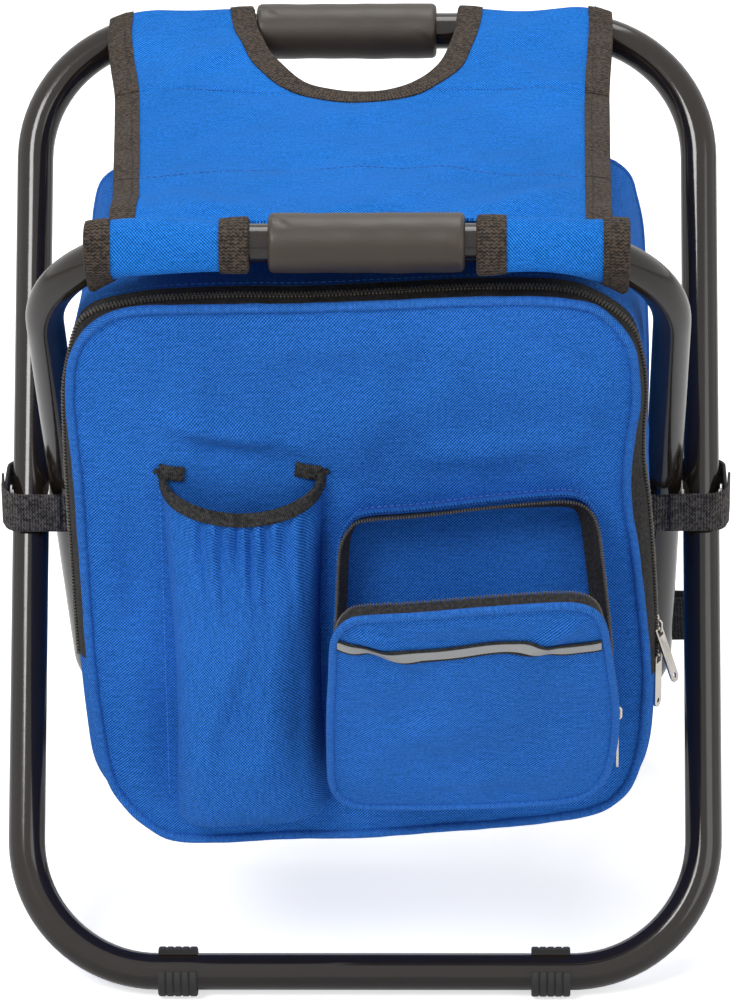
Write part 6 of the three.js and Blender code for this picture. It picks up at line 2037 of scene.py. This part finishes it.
@dataclass
class Straps:
    """Side bands, shoulder pads, adjusters and slack webbing."""

    shop: Workshop
    band_near: float = 134.9
    band_far: float = 177.8
    band_depth: float = 20.2
    band_width: float = 20.0
    pad_x: float = 64.0
    pad_half: float = 26.0
    pad_low: float = 148.1
    pad_high: float = 353.1
    pad_back: float = 32.3
    pad_thick: float = 7.8
    lane: float = 33.7
    inner_corner: float = 119.5
    adjuster_y: float = 39.25
    adjuster_z: float = 136.79
    foot_z: float = 102.6

    def build(self) -> None:
        """Makes and dresses all straps."""
        for label, side in SIDES:
            self.band(label, side)
            self.pad(label, side)
            self.webbing(label, side)
            node = f"strap_adjuster_{label}"
            self.shop.ride(bevelled(node, "black_plastic", 0.6), "bag", "black_plastic", node)

    def band(self, label: str, side: float) -> None:
        """Makes a band round the crossed legs, and the tail where it folds over itself.

        Args:
            label: left or right.
            side: -1 or 1.
        """
        loop = rounded_box(self.band_near, self.band_far, -self.band_depth, self.band_depth, 8.0, 9)
        path = evenly(np.stack([side * loop[:, 0], loop[:, 1], np.full(len(loop), PIVOT_Z)], axis=1), 2.0, True)
        path[:, 2] += 0.5 * np.sin(path[:, 1] * 0.12)
        band = swept(f"side_band_{label}", path, tape(self.band_width, 1.4), UPWARDS, "band_tape", True)
        self.shop.ride(band, "bag", "trim_webbing", f"side_strap_{label}")
        deep = self.band_depth
        route = ((150.0, -deep - 1.5, 0.8), (160.0, -deep - 1.6, 0.9), (170.0, -deep - 1.5, 1.0),
                 (175.5, -deep + 1.2, 1.1), (178.6, -13.5, 1.2), (179.2, -6.0, 1.3), (179.8, 2.0, 1.5))
        tail = evenly(spline([(side * x, y, PIVOT_Z + rise) for x, y, rise in route], False, 8), 1.5)
        flap = swept(f"side_band_tail_{label}", tail, tape(self.band_width, 1.3), UPWARDS, "band_tape")
        self.shop.ride(flap, "bag", "trim_webbing")

    def pad(self, label: str, side: float) -> None:
        """Makes a padded shoulder strap with two sewn channels and a bound edge.

        Args:
            label: left or right.
            side: -1 or 1.
        """
        x = side * self.pad_x
        box = rounded_box(x - self.pad_half, x + self.pad_half, self.pad_low, self.pad_high, 12.0, 8)
        rim = evenly(box, 3.0, True)
        middle = np.array([x, (self.pad_low + self.pad_high) / 2])
        rings = []
        for share in (0.0, 0.15, 0.3, 0.45, 0.6, 0.72, 0.82, 0.9, 0.96):
            inner = middle + (rim - middle) * share
            rings.append(at_depth(inner, self.pad_back + 0.1))
        for depth, grow in ((0.6, -0.3), (1.6, 0.0), (2.8, 0.0)):
            rings.append(at_depth(rim + outward(rim) * grow, self.pad_back + depth))
        for share in (0.97, 0.93, 0.87, 0.8, 0.72, 0.64, 0.56, 0.48, 0.4, 0.3, 0.2, 0.1):
            inner = middle + (rim - middle) * share
            away = edge_distance(inner, rim)
            channel = np.exp(-((np.abs(inner[:, 0] - x) - 9.0) / 2.0) ** 2)
            crown = self.pad_thick * (1.0 - 0.62 * np.exp(-away / 4.0)) - 1.8 * channel * smoothstep(2.0, 8.0, away)
            ring = at_depth(inner, self.pad_back)
            ring[:, 1] += crown + 0.3 * ripple(inner, 30.0, 1.0, 51)
            rings.append(ring)
        pad = ring_piece(f"shoulder_pad_cloth_{label}", rings, "pad_cloth")
        self.shop.ride(pad, "bag", "black_webbing", f"shoulder_pad_{label}")
        edge = at_depth(rim + outward(rim) * 0.3, self.pad_back + 2.2)
        trim = swept(f"shoulder_pad_trim_{label}", edge, circle(1.7, 10), INWARDS, "strap_web", True)
        self.shop.ride(trim, "bag", "black_webbing")
        for number, shift in enumerate((-9.0, 9.0)):
            z = np.linspace(self.pad_low + 9.0, self.pad_high - 9.0, 90)
            line = at_depth(np.stack([np.full_like(z, x + shift), z], axis=1), self.pad_back + self.pad_thick - 1.5)
            row = self.shop.stitches(f"shoulder_pad_row_{label}_{number}", line, np.tile(INWARDS, (len(z), 1)),
                                     "dark_thread", 3.2, SEAM_STITCH)
            self.shop.ride(row, "bag", "black_webbing")

    def webbing(self, label: str, side: float) -> None:
        """Makes the slack webbing from the adjuster out and back to the bag's foot.

        Args:
            label: left or right.
            side: -1 or 1.
        """
        loop_x, back, height, hairpin = (112.0, 66.0, 92.0, 6.0) if side < 0 else (169.0, 114.0, 78.0, 9.0)
        corner = min(loop_x, self.inner_corner)
        turn = back + hairpin
        x, y, z, lane, foot = self.pad_x, self.adjuster_y, self.adjuster_z, self.lane, self.foot_z
        controls = [(x, y, z), (x, y + 3.0, 124.3),
                    ((x + corner) / 2, (y + back) / 2, (z + height) / 2), (corner, back, height + 1.5),
                    (loop_x, back, height), (loop_x + hairpin / 2, back + hairpin / 2, height),
                    (loop_x, turn, height - 1.5), (corner, turn, height - 1.5),
                    (corner, (lane + turn) / 2, (height + foot) / 2), (88.5, lane, foot), (76.0, lane, foot)]
        path = evenly(self.centripetal(np.array(controls)), 2.0)
        path[:, 1] = np.maximum(path[:, 1], self.lane)
        share = smoothstep(0.1, 0.35, np.linspace(0.0, 1.0, len(path)))
        width = np.stack([1.0 - share, np.zeros_like(share), share], axis=1)
        path[:, 0] *= side
        width[:, 0] *= side
        piece = swept(f"shoulder_web_{label}", path, tape(25.0, 1.5), width, "strap_web")
        self.shop.ride(piece, "bag", "black_webbing", f"shoulder_webbing_{label}")

    @staticmethod
    def centripetal(knots: Points, per_span: int = 16) -> Points:
        """Runs a centripetal Catmull-Rom curve, which makes no loops at close points.

        Args:
            knots: Rows of points.
            per_span: Samples between neighbours.

        Returns:
            Rows of points along the curve.
        """
        apart = np.linalg.norm(np.diff(knots, axis=0, prepend=knots[:1] - 1.0), axis=1) > 1e-6
        knots = knots[apart]
        full = np.vstack([2 * knots[0] - knots[1], knots, 2 * knots[-1] - knots[-2]])
        rows = []
        for i in range(1, len(full) - 2):
            a, b, c, d = full[i - 1:i + 3]
            t0, t1 = 0.0, math.sqrt(np.linalg.norm(b - a))
            t2 = t1 + math.sqrt(np.linalg.norm(c - b))
            t3 = t2 + math.sqrt(np.linalg.norm(d - c))
            for t in np.linspace(t1, t2, per_span, endpoint=False):
                p, q, r = between(a, b, t0, t1, t), between(b, c, t1, t2, t), between(c, d, t2, t3, t)
                m, n = between(p, q, t0, t2, t), between(q, r, t1, t3, t)
                rows.append(between(m, n, t1, t2, t))
        rows.append(full[-2])
        return np.array(rows)


@dataclass
class Studio:
    """The camera at the photo's view, a white floor, soft lamps and a white world."""

    eye: tuple[float, float, float] = (63.321, -2408.06, 1367.34)
    yaw: float = -1.509
    pitch: float = 25.819
    roll: float = -0.725
    lens: float = 194.308
    floor_reach: float = 6.0
    floor_level: float = -0.0004
    room_light: float = 0.4
    lamp_aim: tuple[float, float, float] = (0.0, 0.0, 0.2)

    def build(self) -> None:
        """Sets everything up."""
        bpy.context.scene.view_settings.view_transform = "Standard"
        self.camera()
        self.floor()
        self.lamps()
        self.world()

    def camera(self) -> None:
        """Places the camera."""
        yaw, pitch, roll = (math.radians(a) for a in (self.yaw, self.pitch, self.roll))
        forward = Vector((math.sin(yaw) * math.cos(pitch), math.cos(yaw) * math.cos(pitch), -math.sin(pitch)))
        right = Vector((math.cos(yaw), -math.sin(yaw), 0.0))
        up = right.cross(forward)
        across = right * math.cos(roll) + up * math.sin(roll)
        upward = -right * math.sin(roll) + up * math.cos(roll)
        data = bpy.data.cameras.new("photo_view")
        data.lens = self.lens
        data.clip_start, data.clip_end = 0.1, 50.0
        camera = placed("photo_view", data)
        turn = Matrix((across, upward, -forward)).transposed().to_4x4()
        camera.matrix_world = Matrix.Translation(Vector(in_frame(np.array([self.eye]))[0])) @ turn
        bpy.context.scene.camera = camera

    def floor(self) -> None:
        """Lays the floor."""
        mesh = bpy.data.meshes.new("studio_floor")
        corner = [(x * self.floor_reach, y * self.floor_reach, self.floor_level)
                  for x, y in ((-1, -1), (1, -1), (1, 1), (-1, 1))]
        mesh.from_pydata(corner, [], [(0, 1, 2, 3)])
        mesh.materials.append(Floor("studio_floor", (0.90, 0.90, 0.90)).material())
        placed("studio_floor", mesh)

    def lamps(self) -> None:
        """Hangs three soft lamps."""
        for name, place, size, power in (("key_lamp", (-1.2, -1.7, 2.3), 1.0, 41.0),
                                         ("fill_lamp", (1.8, -1.6, 1.3), 1.5, 13.0),
                                         ("top_lamp", (0.2, 0.7, 2.4), 1.2, 22.0)):
            data = bpy.data.lights.new(name, "AREA")
            data.shape, data.size, data.energy = "SQUARE", size, power
            lamp = placed(name, data)
            lamp.location = place
            lamp.rotation_euler = (Vector(self.lamp_aim) - Vector(place)).to_track_quat("-Z", "Y").to_euler()

    def world(self) -> None:
        """Makes the background white for the camera and in reflections, and dimmer as a light."""
        world = bpy.data.worlds.new("white_room")
        bpy.context.scene.world = world
        world.use_nodes = True
        tree = Tree(world.node_tree)
        light, seen = (tree.add("ShaderNodeBackground", {"Color": WHITE, "Strength": strength}).outputs[0]
                       for strength in (self.room_light, 1.0))
        path = tree.add("ShaderNodeLightPath").outputs
        sharp = path["Is Camera Ray"]
        for kind in ("Is Glossy Ray", "Is Transmission Ray"):
            sharp = tree.add("ShaderNodeMath", {0: sharp, 1: path[kind]}, operation="MAXIMUM").outputs[0]
        mixed = tree.add("ShaderNodeMixShader", {0: sharp, 1: light, 2: seen})
        tree.add("ShaderNodeOutputWorld", {0: mixed.outputs[0]})


def corners(box: Sequence[Sequence[float]]) -> list[list[float]]:
    """Turns a box into plain lists."""
    return [[float(value) for value in corner] for corner in box]


def main() -> None:
    """Builds the stool's sub-assemblies in order."""
    logging.basicConfig(level=logging.INFO, format="%(name)s: %(message)s")
    Studio().build()
    shop = Workshop()
    FoldingFrame(shop).build()
    Sling(shop).build()
    bag = CoolerBag(shop, BagShape())
    bag.build()
    BottlePocket(shop, bag.face).build()
    ZipPocket(shop).build()
    ZipHardware(shop).build()
    Straps(shop).build()


if __name__ == "__main__":
    main()
